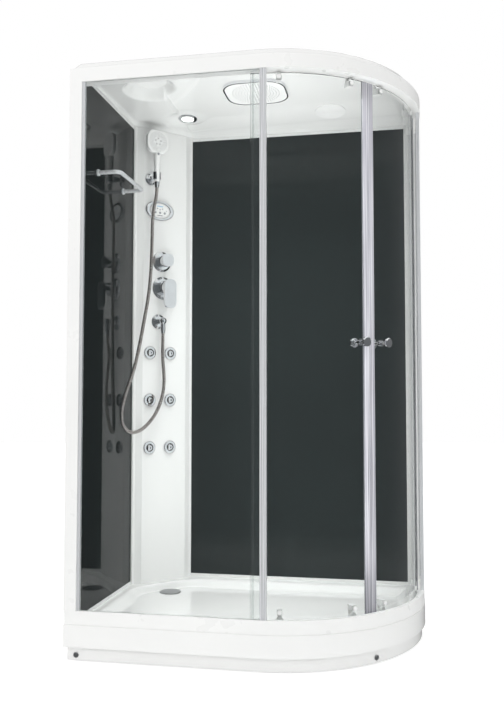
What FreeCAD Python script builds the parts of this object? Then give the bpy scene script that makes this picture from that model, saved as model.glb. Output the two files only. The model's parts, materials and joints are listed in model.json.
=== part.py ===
import FreeCAD, Part
import math
import os

import Sketcher
from FreeCAD import Placement, Rotation, Vector

# Shower cabin with a tray, a corner column and two curved sliding doors.
# Millimetres. The origin is the centre of the footprint on the floor: +X right
# along the straight front, +Y back to the rear wall, +Z up. The front is at -Y.

os.makedirs("parts", exist_ok=True)
doc = FreeCAD.newDocument("ShowerCabin")

# ---------------------------------------------------------------- driving sizes

DRIVING_SIZES = [
    # footprint
    ("cabin_width", 1200, "left wall to right side"),
    ("cabin_depth", 800, "front to rear wall"),
    ("corner_radius", 550, "outer radius of the rounded front corner"),
    # heights, one above the other
    ("foot_gap", 3, "clear height under the plinth"),
    ("plinth_top", 47, "where the plinth meets the tray's skirt"),
    ("tray_top", 121, "rim of the tray"),
    ("bottom_rail_height", 46, "lower rail above the rim"),
    ("glazed_height", 1803, "between the two rails"),
    ("top_rail_height", 48, "upper rail"),
    ("ceiling_rise", 22, "ceiling above the upper rail"),
    ("scoop_rise", 30, "dished corner above the ceiling"),
    # tray
    ("tray_wall", 5, "thickness of the moulded sheet"),
    ("rim_width", 55, "rim around the basin"),
    ("basin_depth", 26, "rim to basin floor"),
    ("basin_corner", 208, "leg of the basin's cut corner"),
    ("basin_rounding", 9, "rounding between basin wall and floor"),
    ("skirt_rounding", 3, "rounding of the rim's outer edge"),
    ("plinth_recess", 12, "plinth behind the skirt"),
    ("plinth_sheet", 5, "thickness of the plinth"),
    ("plinth_lap", 12, "plinth behind the skirt's lower edge"),
    ("drain_from_left", 194, "drain from the left wall"),
    ("drain_from_rear", 199, "drain from the rear wall"),
    ("drain_cover_radius", 43, "round cover"),
    ("drain_cover_height", 4, "thickness of the cover"),
    ("drain_throat_radius", 30, "hole through the tray"),
    ("trap_radius", 48, "body of the trap"),
    ("trap_depth", 77, "body below the tray"),
    ("waste_radius", 20, "outlet spigot of the trap"),
    ("waste_length", 60, "outlet spigot beyond its collar"),
    ("waste_collar", 4, "collar of the outlet off the trap"),
    ("waste_play", 8, "skirt notch round the waste pipe"),
    # steel frame and feet
    ("tube_size", 25, "square steel tube"),
    ("tube_wall", 2, "its wall"),
    ("frame_from_front", 140, "front bearer from the front"),
    ("frame_from_rear", 100, "rear bearer from the rear wall"),
    ("frame_from_left", 100, "left cross tube from the left wall"),
    ("frame_bay", 440, "left cross tube to the middle one"),
    ("frame_from_right", 270, "right cross tube from the right side"),
    ("foot_radius", 22, "foot disc"),
    ("foot_height", 10, "foot disc"),
    ("stud_radius", 6, "threaded foot rod"),
    ("stud_clearance", 0.3, "rod in its hole"),
    ("nut_width", 18, "hexagon nut across flats"),
    ("nut_height", 10, "hexagon nut"),
    ("screw_cap_radius", 9, "screw cap on the plinth"),
    ("screw_cap_height", 4, "screw cap on the plinth"),
    ("screw_radius", 2, "screw shank"),
    ("screw_height", 20, "screws above the floor"),
    # rails
    ("rail_inset", 2, "rail behind the tray's edge"),
    ("rail_wall", 13, "thickness of the rail's outer wall"),
    ("shelf_width", 31, "roller shelf inside the outer wall"),
    ("shelf_rise", 29, "lower roller shelf above the rim"),
    ("upper_shelf", 5, "thickness of the upper roller shelf"),
    ("rail_cover", 60, "cover strip of the upper rail"),
    ("cover_height", 8, "cover strip of the upper rail"),
    # glazing
    ("glass_inset", 10, "middle of the fixed glass behind the edge"),
    ("glass_thickness", 6, "tempered glass"),
    ("glass_play", 0.3, "clearance of glass in its grooves"),
    ("groove_depth", 12, "glass in the rails"),
    ("glass_overlap", 36.5, "fixed glass past the start of the curve"),
    ("strip_width", 22, "profile on a free glass edge"),
    ("strip_thickness", 13, "profile on a free glass edge"),
    ("edge_strip", 11, "glazing bead at the post"),
    ("post_width", 44, "front left post"),
    ("post_depth", 40, "front left post"),
    ("rear_post_width", 41, "rear right post"),
    ("rear_post_depth", 40, "rear right post"),
    # wall panels
    ("wall_depth", 28, "left wall, outside to glass face"),
    ("rear_depth", 9, "rear wall, outside to glass face"),
    ("panel_thickness", 5, "black glass"),
    ("frame_lip", 12, "frame seen round the black glass"),
    ("frame_proud", 2, "frame in front of the black glass"),
    # corner column
    ("column_leg", 200, "column on each wall"),
    ("column_sheet", 4, "thickness of the column"),
    ("column_bulge", 14, "flat face in front of its edges"),
    ("column_edge", 14, "flat edge strip"),
    ("column_slope", 40, "start of the flat face"),
    # column fittings, along the face and up
    ("jet_left", 71, "left jets"),
    ("jet_right", 166, "right jets"),
    ("jet_drop", 132, "highest jets below the hose outlet"),
    ("jet_pitch", 197, "jets one above the other"),
    ("jet_ring_radius", 27, "chrome ring"),
    ("jet_ring_height", 9, "chrome ring off the column"),
    ("jet_ball_radius", 16, "turning ball"),
    ("jet_neck_radius", 20, "socket through the column"),
    ("jet_play", 0.3, "ball in its ring"),
    ("mixer_across", 130, "mixer"),
    ("mixer_drop", 112, "mixer below the diverter"),
    ("mixer_plate_radius", 48, "mixer cover plate"),
    ("mixer_hub_radius", 26, "mixer hub"),
    ("mixer_collar_radius", 28.5, "wider foot of the mixer hub"),
    ("mixer_hub_length", 52, "mixer hub off its plate"),
    ("lever_width", 54, "mixer lever plate"),
    ("lever_length", 120, "mixer lever plate"),
    ("lever_thickness", 12, "mixer lever plate"),
    ("diverter_across", 125, "diverter"),
    ("diverter_drop", 216, "diverter below the control panel"),
    ("diverter_plate_radius", 43, "diverter cover plate"),
    ("diverter_knob_radius", 27, "diverter knob"),
    ("diverter_knob_length", 52, "diverter knob off its plate"),
    ("cover_plate_height", 8, "cover plates off the column"),
    ("inlet_spread", 50, "hot and cold inlets apart"),
    ("inlet_radius", 10.5, "hot and cold inlets"),
    ("inlet_length", 40, "hot and cold inlets behind the mixer"),
    ("elbow_across", 110, "hose outlet"),
    ("outlet_drop", 143, "hose outlet below the mixer"),
    ("elbow_plate_radius", 31, "hose outlet plate"),
    ("elbow_reach", 44, "hose outlet off the column"),
    ("holder_across", 70, "hand shower holder"),
    ("holder_drop", 240, "hand shower holder below the ceiling"),
    ("holder_plate_radius", 25, "holder plate"),
    ("holder_reach", 58, "hand shower axis off the column"),
    ("panel_across", 111, "control panel"),
    ("panel_drop", 129, "control panel below the holder"),
    ("panel_half_width", 66, "oval bezel"),
    ("panel_half_height", 42, "oval bezel"),
    ("panel_height", 12, "bezel off the column"),
    ("face_half_width", 46, "white oval face"),
    ("face_half_height", 31, "white oval face"),
    ("panel_box_width", 80, "control box through the column"),
    ("panel_box_height", 42, "control box through the column"),
    ("panel_box_depth", 24, "control box behind the face"),
    ("button_radius", 5, "panel button"),
    ("button_pitch", 22, "panel buttons"),
    ("button_travel", 1.5, "panel button"),
    # hand shower
    ("shower_head_width", 96, "rounded square head of the hand shower"),
    ("shower_head_corner", 34, "hand shower head corners"),
    ("shower_head_rise", 144, "head centre above the holder"),
    ("shower_head_depth", 26, "hand shower head"),
    ("handle_radius", 14, "hand shower handle, at the head"),
    ("handle_foot_radius", 11, "hand shower handle, at the hose"),
    ("handle_drop", 24, "handle below the holder"),
    ("clamp_height", 30, "holder clamp"),
    ("clamp_wall", 5, "holder clamp"),
    ("hose_radius", 7, "shower hose"),
    ("hose_nut_radius", 11, "conical hose nut"),
    ("hose_nut_length", 24, "conical hose nut"),
    ("hose_lead", 30, "hose straight below its nuts"),
    ("hose_nut_rim", 1.5, "narrow end of the nut round the hose"),
    ("running_gap", 0.3, "between pieces that move"),
    # doors
    ("door_radius", 520, "middle of the curved glass"),
    ("door_lift", 8, "door glass above and below its shelves"),
    ("meet_angle", -46, "where the doors meet"),
    ("left_door_sweep", 46, "left door glass"),
    ("right_door_sweep", 47, "right door glass"),
    ("door_gap", 1, "half of the gap between the doors"),
    ("magnet_width", 22, "magnetic strip"),
    ("magnet_thickness", 10, "magnetic strip"),
    ("near_roller", 7.3, "rollers beside the meeting line"),
    ("far_roller", 35.5, "rollers towards the walls"),
    ("track_inset", 40, "rollers behind the edge"),
    ("wheel_radius", 11, "roller wheel"),
    ("wheel_width", 8, "roller wheel"),
    ("axle_radius", 3, "roller axle"),
    ("axle_play", 0.05, "wheel on its axle"),
    ("bracket_width", 18, "roller bracket"),
    ("bracket_arm", 5, "roller bracket arm"),
    ("bracket_height", 18, "roller bracket on the glass"),
    ("arm_clearance", 10, "bracket arm clear of the shelf"),
    ("knob_up", 1065, "door knobs"),
    ("left_knob_arc", 35, "left knobs from the meeting line"),
    ("right_knob_arc", 58, "right knobs from the meeting line"),
    ("knob_radius", 16.5, "door knob"),
    ("knob_reach", 38, "door knob off the glass"),
    ("knob_stem_radius", 6, "door knob stem"),
    # towel bar
    ("towel_from_front", 195, "front leg from the front"),
    ("towel_length", 265, "between the legs"),
    ("towel_up", 1707, "towel bar"),
    ("towel_reach", 85, "bar off the wall"),
    ("towel_radius", 7.5, "bar"),
    ("towel_bend", 22, "bend of the bar"),
    ("towel_flange_radius", 12, "wall flanges"),
    ("towel_flange_height", 6, "wall flanges"),
    # ceiling
    ("roof_inset", 8, "roof behind the rail's edge"),
    ("roof_sheet", 5, "thickness of the roof"),
    ("roof_slope", 35, "slope of the ceiling's sides"),
    ("cove_depth", 245, "sloping rear part of the ceiling"),
    ("cove_step", 1, "sloping part above the rail at the rear wall"),
    ("scoop_radius", 872, "edge of the dished corner"),
    ("scoop_centre_side", 366, "centre of that edge beyond the left wall"),
    ("scoop_centre_fore", 187, "centre of that edge before the front"),
    ("scoop_border", 47, "dished corner from the walls"),
    ("rain_x", -10, "rain head"),
    ("rain_y", -38, "rain head"),
    ("rain_width", 235, "rain head"),
    ("rain_depth", 212, "rain head"),
    ("rain_corner", 70, "rain head corners"),
    ("rain_drop", 12, "rain head below the ceiling"),
    ("rain_rim", 5, "chrome rim"),
    ("pipe_radius", 8, "water pipes"),
    ("rain_pipe_rise", 40, "rain head inlet above the ceiling"),
    ("knee_radius", 11, "round fittings of the pipes over the roof"),
    ("lamp_from_left", 261, "lamp from the left wall"),
    ("lamp_from_rear", 210, "lamp from the rear wall"),
    ("lamp_radius", 39, "lamp bezel"),
    ("lamp_lens_radius", 27, "lamp lens"),
    ("lamp_depth", 45, "lamp above the ceiling"),
    ("speaker_from_right", 350, "speaker from the right side"),
    ("speaker_from_rear", 190, "speaker from the rear wall"),
    ("speaker_radius", 62, "speaker grille"),
    ("speaker_depth", 50, "speaker above the ceiling"),
    ("fan_from_left", 202, "fan from the left wall"),
    ("fan_from_front", 265, "fan from the front"),
    ("fan_radius", 62, "fan grille"),
    ("fan_height", 55, "fan housing above the ceiling"),
    ("fan_blade", 46, "tip of the fan blades"),
    ("fan_hub", 16, "fan hub"),
    ("fan_blades", 7, "number of blades"),
    ("grille_height", 3, "grilles below the ceiling"),
    ("grille_slot", 5, "slots of the grilles"),
]

sheet = doc.addObject("Spreadsheet::Sheet", "Sizes")
for row, (alias, value, meaning) in enumerate(DRIVING_SIZES, start=1):
    sheet.set(f"A{row}", str(value))
    sheet.setAlias(f"A{row}", alias)
    sheet.set(f"B{row}", meaning)
doc.recompute()


class Size:
    """A length or an angle in degrees: its value now, and the sheet formula behind it."""

    def __init__(self, value, formula):
        self.value = float(value)
        self.formula = formula

    def __add__(self, other):
        other = as_size(other)
        return Size(self.value + other.value, f"({self.formula} + {other.formula})")

    def __sub__(self, other):
        other = as_size(other)
        return Size(self.value - other.value, f"({self.formula} - {other.formula})")

    def __mul__(self, other):
        other = as_size(other)
        return Size(self.value * other.value, f"({self.formula} * {other.formula})")

    def __truediv__(self, other):
        other = as_size(other)
        return Size(self.value / other.value, f"({self.formula} / {other.formula})")

    def __radd__(self, other):
        return as_size(other) + self

    def __rsub__(self, other):
        return as_size(other) - self

    def __rmul__(self, other):
        return as_size(other) * self

    def __neg__(self):
        return self * -1


def as_size(item):
    return item if isinstance(item, Size) else Size(item, f"({float(item)!r})")


def cosine(angle):
    angle = as_size(angle)
    return Size(math.cos(math.radians(angle.value)), f"cos({angle.formula})")


def sine(angle):
    angle = as_size(angle)
    return Size(math.sin(math.radians(angle.value)), f"sin({angle.formula})")


def root(square):
    return Size(math.sqrt(square.value), f"sqrt({square.formula})")


class SheetSizes:
    """Gives each alias of the sheet as a Size."""

    def __getattr__(self, alias):
        return Size(getattr(sheet, alias), f"Sizes.{alias}")


S = SheetSizes()

# ---------------------------------------------------------------- shared places

left = -S.cabin_width / 2
right = S.cabin_width / 2
front = -S.cabin_depth / 2
rear = S.cabin_depth / 2
arc_x = right - S.corner_radius
arc_y = front + S.corner_radius

rail_bottom_top = S.tray_top + S.bottom_rail_height
rail_top_bottom = rail_bottom_top + S.glazed_height
rail_top_top = rail_top_bottom + S.top_rail_height
ceiling = rail_top_top + S.ceiling_rise
scoop_ceiling = ceiling + S.scoop_rise
basin_floor = S.tray_top - S.basin_depth
tray_underside = basin_floor - S.tray_wall
glass_bottom = rail_bottom_top - S.groove_depth
glass_top = rail_top_bottom + S.groove_depth
upper_shelf_top = rail_top_bottom + S.upper_shelf
lower_shelf_top = S.tray_top + S.shelf_rise
track_radius = S.corner_radius - S.track_inset
left_glass_face = left + S.wall_depth
rear_glass_face = rear - S.rear_depth
column_left_y = rear_glass_face - S.column_leg
column_rear_x = left_glass_face + S.column_leg

# each of these keeps its distance from the wall, the ceiling or the fitting next to it
drain_x = left + S.drain_from_left
drain_y = rear - S.drain_from_rear
frame_front = front + S.frame_from_front
frame_rear = rear - S.frame_from_rear
frame_left = left + S.frame_from_left
frame_middle = frame_left + S.frame_bay
frame_right = right - S.frame_from_right
towel_front = front + S.towel_from_front
towel_rear = towel_front + S.towel_length
scoop_centre_x = left - S.scoop_centre_side
scoop_centre_y = front - S.scoop_centre_fore
lamp_x = left + S.lamp_from_left
lamp_y = rear - S.lamp_from_rear
speaker_x = right - S.speaker_from_right
speaker_y = rear - S.speaker_from_rear
fan_x = left + S.fan_from_left
fan_y = front + S.fan_from_front
holder_up = ceiling - S.holder_drop
panel_up = holder_up - S.panel_drop
diverter_up = panel_up - S.diverter_drop
mixer_up = diverter_up - S.mixer_drop
elbow_up = mixer_up - S.outlet_drop
jet_low = elbow_up - S.jet_drop - S.jet_pitch * 2

DIAGONAL = math.sqrt(0.5)
# the column's face: across it, up, and out of it into the cabin
COLUMN_TURN = Rotation(Vector(1, 1, 0), Vector(0, 0, 1), Vector(1, -1, 0), "ZXY")
column_width = S.column_leg / DIAGONAL

# ---------------------------------------------------------------- drawing helpers


class Bend:
    """Makes the side between two corners an arc about this centre."""

    def __init__(self, x, y, clockwise=False):
        self.x = as_size(x)
        self.y = as_size(y)
        self.clockwise = clockwise


class Circle:
    def __init__(self, x, y, radius):
        self.x = as_size(x)
        self.y = as_size(y)
        self.radius = as_size(radius)


class Ellipse:
    """An ellipse with its long half along the sketch's first axis."""

    def __init__(self, x, y, half_width, half_height):
        self.x = as_size(x)
        self.y = as_size(y)
        self.half_width = as_size(half_width)
        self.half_height = as_size(half_height)


def bind(item, **sizes):
    for name, size in sizes.items():
        size = as_size(size)
        setattr(item, name, size.value)
        item.setExpression(name, size.formula)


def fix_point(sketch, side, end, x, y):
    """Holds a point of the sketch at x, y with two driving constraints."""
    for kind, axis, size in (("DistanceX", -2, x), ("DistanceY", -1, y)):
        if size.value == 0:
            sketch.addConstraint(Sketcher.Constraint("PointOnObject", side, end, axis))
        else:
            fix_distance(sketch, kind, side, end, size)


def fix_distance(sketch, kind, side, end, size):
    number = sketch.addConstraint(Sketcher.Constraint(kind, -1, 1, side, end, size.value))
    sketch.setExpression(f"Constraints[{number}]", size.formula)


def draw_circle(sketch, circle):
    centre = Vector(circle.x.value, circle.y.value, 0)
    side = sketch.addGeometry(Part.Circle(centre, Vector(0, 0, 1), circle.radius.value))
    fix_point(sketch, side, 3, circle.x, circle.y)
    number = sketch.addConstraint(Sketcher.Constraint("Radius", side, circle.radius.value))
    sketch.setExpression(f"Constraints[{number}]", circle.radius.formula)


def draw_ellipse(sketch, ellipse):
    centre = Vector(ellipse.x.value, ellipse.y.value, 0)
    tip = centre + Vector(ellipse.half_width.value, 0, 0)
    crown = centre + Vector(0, ellipse.half_height.value, 0)
    side = sketch.addGeometry(Part.Ellipse(tip, crown, centre))
    sketch.exposeInternalGeometry(side)
    major, minor = side + 1, side + 2
    fix_point(sketch, side, 3, ellipse.x, ellipse.y)
    sketch.addConstraint(Sketcher.Constraint("Horizontal", major))
    for axis, half in ((major, ellipse.half_width), (minor, ellipse.half_height)):
        number = sketch.addConstraint(Sketcher.Constraint("Distance", axis, 2 * half.value))
        sketch.setExpression(f"Constraints[{number}]", (half * 2).formula)


def draw_loop(sketch, corners):
    """Closes the corners with straight sides, or arcs where a Bend stands between them."""
    sides = []
    points = [corner for corner in corners if not isinstance(corner, Bend)]
    spots = [index for index, corner in enumerate(corners) if not isinstance(corner, Bend)]
    for count, spot in enumerate(spots):
        after = corners[(spot + 1) % len(corners)]
        bend = after if isinstance(after, Bend) else None
        start = tuple(as_size(part) for part in points[count])
        stop = tuple(as_size(part) for part in points[(count + 1) % len(points)])
        sides.append((start, stop, bend))
    drawn = []
    for start, stop, bend in sides:
        drawn.append(draw_side(sketch, start, stop, bend))
    for count, (side, first, last) in enumerate(drawn):
        start = sides[count][0]
        fix_point(sketch, side, first, *start)
        next_side, next_first, _ = drawn[(count + 1) % len(drawn)]
        sketch.addConstraint(Sketcher.Constraint("Coincident", side, last, next_side, next_first))
    for (side, _, _), (start, stop, bend) in zip(drawn, sides):
        if bend:
            hold_centre(sketch, side, start, stop, bend)


def draw_side(sketch, start, stop, bend):
    """Adds one side; returns its number and which of its ends is first and last."""
    a = Vector(start[0].value, start[1].value, 0)
    b = Vector(stop[0].value, stop[1].value, 0)
    if bend is None:
        return sketch.addGeometry(Part.LineSegment(a, b)), 1, 2
    centre = Vector(bend.x.value, bend.y.value, 0)
    if bend.clockwise:
        a, b = b, a
    from_angle = math.atan2(a.y - centre.y, a.x - centre.x)
    to_angle = math.atan2(b.y - centre.y, b.x - centre.x)
    circle = Part.Circle(centre, Vector(0, 0, 1), (a - centre).Length)
    side = sketch.addGeometry(Part.ArcOfCircle(circle, from_angle, to_angle))
    return (side, 2, 1) if bend.clockwise else (side, 1, 2)


def hold_centre(sketch, side, start, stop, bend):
    """One more size fixes an arc whose ends are held: its centre along the steeper way."""
    wide = abs(stop[0].value - start[0].value) > abs(stop[1].value - start[1].value)
    kind, size, axis = ("DistanceY", bend.y, -1) if wide else ("DistanceX", bend.x, -2)
    if size.value == 0:
        sketch.addConstraint(Sketcher.Constraint("PointOnObject", side, 3, axis))
    else:
        fix_distance(sketch, kind, side, 3, size)


PLANES = {"floor": "XY_Plane", "front": "XZ_Plane", "side": "YZ_Plane"}


def add_sketch(body, shapes, plane, lift):
    """A sketch on one of the body's own planes, lifted along that plane's normal."""
    sketch = body.newObject("Sketcher::SketchObject", body.Label + "_sketch")
    support = [part for part in body.Origin.OriginFeatures if part.Role == PLANES[plane]][0]
    sketch.AttachmentSupport = [(support, "")]
    sketch.MapMode = "FlatFace"
    lift = as_size(lift)
    sketch.AttachmentOffset = Placement(Vector(0, 0, lift.value), Rotation())
    sketch.setExpression("AttachmentOffset.Base.z", lift.formula)
    for shape in shapes:
        if isinstance(shape, Circle):
            draw_circle(sketch, shape)
        elif isinstance(shape, Ellipse):
            draw_ellipse(sketch, shape)
        else:
            draw_loop(sketch, shape)
    return sketch


def new_body(label):
    body = doc.addObject("PartDesign::Body", label)
    body.Label = label
    body.AllowCompound = True
    return body


def pad(body, shapes, bottom, top, plane="floor", slope=0):
    """Adds material from bottom to top along the plane's normal."""
    sketch = add_sketch(body, shapes, plane, bottom)
    feature = body.newObject("PartDesign::Pad", body.Label + "_pad")
    feature.Profile = sketch
    bind(feature, Length=as_size(top) - bottom)
    if slope:
        bind(feature, TaperAngle=slope)
    return feature


def pocket(body, shapes, bottom, top, plane="floor"):
    """Takes material away between bottom and top along the plane's normal."""
    sketch = add_sketch(body, shapes, plane, top)
    feature = body.newObject("PartDesign::Pocket", body.Label + "_pocket")
    feature.Profile = sketch
    bind(feature, Length=as_size(top) - bottom)
    return feature


def turn(body, outline, plane="front", lift=0, axis="V_Axis"):
    """Adds the outline turned a full circle about the sketch's upright axis."""
    sketch = add_sketch(body, [outline], plane, lift)
    feature = body.newObject("PartDesign::Revolution", body.Label + "_turned")
    feature.Profile = sketch
    feature.ReferenceAxis = (sketch, [axis])
    feature.Angle = 360
    return feature


def round_edges(body, radius, wanted):
    """Rounds the edges of the body's last feature that the test picks."""
    doc.recompute()
    base = body.Tip
    names = [f"Edge{n}" for n, edge in enumerate(base.Shape.Edges, 1) if wanted(edge)]
    feature = body.newObject("PartDesign::Fillet", body.Label + "_rounding")
    feature.Base = (base, names)
    bind(feature, Radius=radius)
    return feature


def at_height(height):
    """Tests for an edge that lies level at this height."""
    def wanted(edge):
        box = edge.BoundBox
        return abs(box.ZMin - height.value) < 0.01 and abs(box.ZMax - height.value) < 0.01
    return wanted


def rectangle(x_low, x_high, y_low, y_high):
    return [(x_low, y_low), (x_high, y_low), (x_high, y_high), (x_low, y_high)]


def place(item, x, y, z, turning=Rotation()):
    """Sets the item's Placement, with its base bound to the sheet."""
    spot = [as_size(part) for part in (x, y, z)]
    item.Placement = Placement(Vector(*[part.value for part in spot]), turning)
    for axis, part in zip("xyz", spot):
        item.setExpression(f"Placement.Base.{axis}", part.formula)
    return item


def place_on_column(item, across=0, up=0, out=0):
    """Stands the item on the column's face: its x across, its y up, its z out of the face."""
    across, out = as_size(across), as_size(out)
    x = left_glass_face + (across + out) * DIAGONAL
    y = column_left_y + (across - out) * DIAGONAL
    return place(item, x, y, up, COLUMN_TURN)


def place_on_arc(item, angle, z=0):
    """Turns the item about the axis of the rounded corner: its x points out at this angle."""
    angle = as_size(angle)
    place(item, arc_x, arc_y, z, Rotation(Vector(0, 0, 1), angle.value))
    item.setExpression("Placement.Rotation.Angle", angle.formula)
    return item


def block(label, x, y, z):
    """A box between pairs of places."""
    item = doc.addObject("Part::Box", label)
    item.Label = label
    (x0, x1), (y0, y1), (z0, z1) = [[as_size(end) for end in pair] for pair in (x, y, z)]
    bind(item, Length=x1 - x0, Width=y1 - y0, Height=z1 - z0)
    return place(item, x0, y0, z0)


def rod(label, radius, length, x, y, z, turning=Rotation()):
    """A round bar that starts at x, y, z."""
    item = doc.addObject("Part::Cylinder", label)
    item.Label = label
    bind(item, Radius=radius, Height=length)
    return place(item, x, y, z, turning)


ALONG_X = Rotation(Vector(0, 1, 0), 90)
ALONG_Y = Rotation(Vector(1, 0, 0), -90)


def join(label, pieces):
    item = doc.addObject("Part::MultiFuse", label)
    item.Label = label
    item.Shapes = pieces
    return item


def cut(label, base, tool):
    item = doc.addObject("Part::Cut", label)
    item.Label = label
    item.Base = base
    item.Tool = tool
    return item


def group(label, pieces):
    """Separate solids kept in one node."""
    item = doc.addObject("Part::Compound", label)
    item.Label = label
    item.Links = pieces
    return item


NODES = []


def node(item, label=None):
    """Marks an object as a finished piece and gives it its name."""
    if label:
        item.Label = label
    NODES.append(item)
    return item


def plan(inset, cut_corner=None):
    """The cabin's outline seen from above, drawn in by the inset."""
    corners = [
        (left + inset, front + inset),
        (arc_x, front + inset),
        Bend(arc_x, arc_y),
        (right - inset, arc_y),
        (right - inset, rear - inset),
    ]
    if cut_corner is None:
        corners.append((left + inset, rear - inset))
    else:
        corners.append((left + inset + cut_corner, rear - inset))
        corners.append((left + inset, rear - inset - cut_corner))
    return corners


def band(outer, inner, start, stop):
    """A strip along the front, round the corner and along the right side."""
    return [
        (start, front + outer),
        (arc_x, front + outer),
        Bend(arc_x, arc_y),
        (right - outer, arc_y),
        (right - outer, stop),
        (right - inner, stop),
        (right - inner, arc_y),
        Bend(arc_x, arc_y, clockwise=True),
        (arc_x, front + inner),
        (start, front + inner),
    ]


def sector(inner, outer, start, stop):
    """Part of a ring about the rounded corner's axis, between two angles."""
    return [
        (inner * cosine(start), inner * sine(start)),
        (outer * cosine(start), outer * sine(start)),
        Bend(0, 0),
        (outer * cosine(stop), outer * sine(stop)),
        (inner * cosine(stop), inner * sine(stop)),
        Bend(0, 0, clockwise=True),
    ]


def hexagon(x, y, width):
    """A nut's outline; width is measured across the flats."""
    corner = width / 2 / math.cos(math.radians(30))
    angles = [60 * turn_count for turn_count in range(6)]
    return [(x + corner * cosine(angle), y + corner * sine(angle)) for angle in angles]


def rounded_rectangle(x, y, width, depth, corner):
    """A rectangle about x, y with round corners."""
    low_x, high_x = x - width / 2, x + width / 2
    low_y, high_y = y - depth / 2, y + depth / 2
    return [
        (low_x + corner, low_y), (high_x - corner, low_y),
        Bend(high_x - corner, low_y + corner),
        (high_x, low_y + corner), (high_x, high_y - corner),
        Bend(high_x - corner, high_y - corner),
        (high_x - corner, high_y), (low_x + corner, high_y),
        Bend(low_x + corner, high_y - corner),
        (low_x, high_y - corner), (low_x, low_y + corner),
        Bend(low_x + corner, low_y + corner),
    ]


def arc_angle(length, radius):
    """The angle that a length takes up on a circle."""
    return length / radius * math.degrees(1)


# ---------------------------------------------------------------- tray

tray = new_body("tray")
pad(tray, [plan(0)], S.plinth_top, S.tray_top)
pocket(tray, [plan(S.rim_width, S.basin_corner)], basin_floor, S.tray_top)
round_edges(tray, S.basin_rounding, at_height(basin_floor))
round_edges(tray, S.skirt_rounding, at_height(S.tray_top))
# the sheet is hollow from below: under the basin, and higher up under the rim
pocket(tray, [plan(S.tray_wall)], S.plinth_top, tray_underside)
wall_corner = S.basin_corner + S.tray_wall * (2 - 2 * DIAGONAL)
under_rim = [plan(S.tray_wall), plan(S.rim_width - S.tray_wall, wall_corner)]
pocket(tray, under_rim, tray_underside, S.tray_top - S.tray_wall)
drain_hole = Circle(drain_x, drain_y, S.drain_throat_radius)
pocket(tray, [drain_hole], tray_underside, basin_floor)
trap_bottom = tray_underside - S.trap_depth
spigot_up = trap_bottom + S.waste_radius + S.tray_wall
notch_half = S.waste_radius + S.waste_play
waste_notch = rectangle(drain_x - notch_half, drain_x + notch_half,
                        rear - S.tray_wall * 2, rear + 1)
pocket(tray, [waste_notch], S.plinth_top, spigot_up + notch_half)
node(tray)

plinth = new_body("plinth_undrilled")
plinth_inner = S.plinth_recess + S.plinth_sheet
plinth_start = left + S.plinth_recess
plinth_crown = S.plinth_top + S.plinth_lap
plinth_stop = rear - S.tray_wall
pad(plinth, [band(S.plinth_recess, plinth_inner, plinth_start, plinth_stop)],
    S.foot_gap, plinth_crown)
pad(plinth, [band(S.tray_wall, plinth_inner, plinth_start, plinth_stop)],
    plinth_crown - S.plinth_sheet, plinth_crown)

# ---------------------------------------------------------------- steel frame

tube_top = tray_underside
tube_bottom = tube_top - S.tube_size
half_tube = S.tube_size / 2
frame_start = left + S.tube_size
frame_end = right - S.rim_width


def tube(label, x, y):
    """A square tube between pairs of places, with its bore as a second box."""
    outside = block(label, x, y, (tube_bottom, tube_top))
    wall = S.tube_wall
    along_x = abs(x[1].value - x[0].value) > abs(y[1].value - y[0].value)
    inner_x = x if along_x else (x[0] + wall, x[1] - wall)
    inner_y = (y[0] + wall, y[1] - wall) if along_x else y
    inside = block(label + "_bore", inner_x, inner_y, (tube_bottom + wall, tube_top - wall))
    return outside, inside


tube_pairs = [
    tube("front_bearer", (frame_start, frame_right + half_tube),
         (frame_front - half_tube, frame_front + half_tube)),
    tube("rear_bearer", (frame_start, frame_end),
         (frame_rear - half_tube, frame_rear + half_tube)),
]
for name, middle in (("left", frame_left), ("middle", frame_middle), ("right", frame_right)):
    tube_pairs.append(tube(name + "_cross_tube", (middle - half_tube, middle + half_tube),
                           (frame_front - half_tube, frame_rear + half_tube)))

foot_spots = [(x, y) for x in (frame_left, frame_middle, frame_right)
              for y in (frame_front, frame_rear)]
foot_spots.append((frame_end - S.tube_size, frame_rear))

# straps that carry the plinth: their far ends stand behind it
plinth_back = right - plinth_inner
strap_half = half_tube
strap_top = tube_bottom + S.tube_wall
front_screw_x = left + S.tube_size * 1.7
corner_screw_angle = Size(-45, "(-45)")
strap_foot = S.foot_gap * 2

front_strap = block("front_strap", (front_screw_x - strap_half, front_screw_x + strap_half),
                    (front + plinth_inner, frame_front), (tube_bottom, strap_top))
front_tab = block("front_tab", (front_screw_x - strap_half, front_screw_x + strap_half),
                  (front + plinth_inner, front + plinth_inner + S.tube_wall),
                  (strap_foot, strap_top))
side_strap = block("side_strap", (frame_end - S.tube_size, plinth_back),
                   (frame_rear - strap_half, frame_rear + strap_half),
                   (tube_bottom, strap_top))
side_tab = block("side_tab", (plinth_back - S.tube_wall, plinth_back),
                 (frame_rear - strap_half, frame_rear + strap_half),
                 (strap_foot, strap_top))
corner_reach = S.corner_radius - plinth_inner
corner_start = (frame_right - arc_x) / DIAGONAL
corner_strap = new_body("corner_strap")
strap_outline = rectangle(corner_start, corner_reach - 1, -strap_half, strap_half)
pad(corner_strap, [strap_outline], tube_bottom, strap_top)
tab_outline = rectangle(corner_reach - 1 - S.tube_wall, corner_reach - 1, -strap_half, strap_half)
pad(corner_strap, [tab_outline], strap_foot, strap_top)
place_on_arc(corner_strap, corner_screw_angle)

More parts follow.
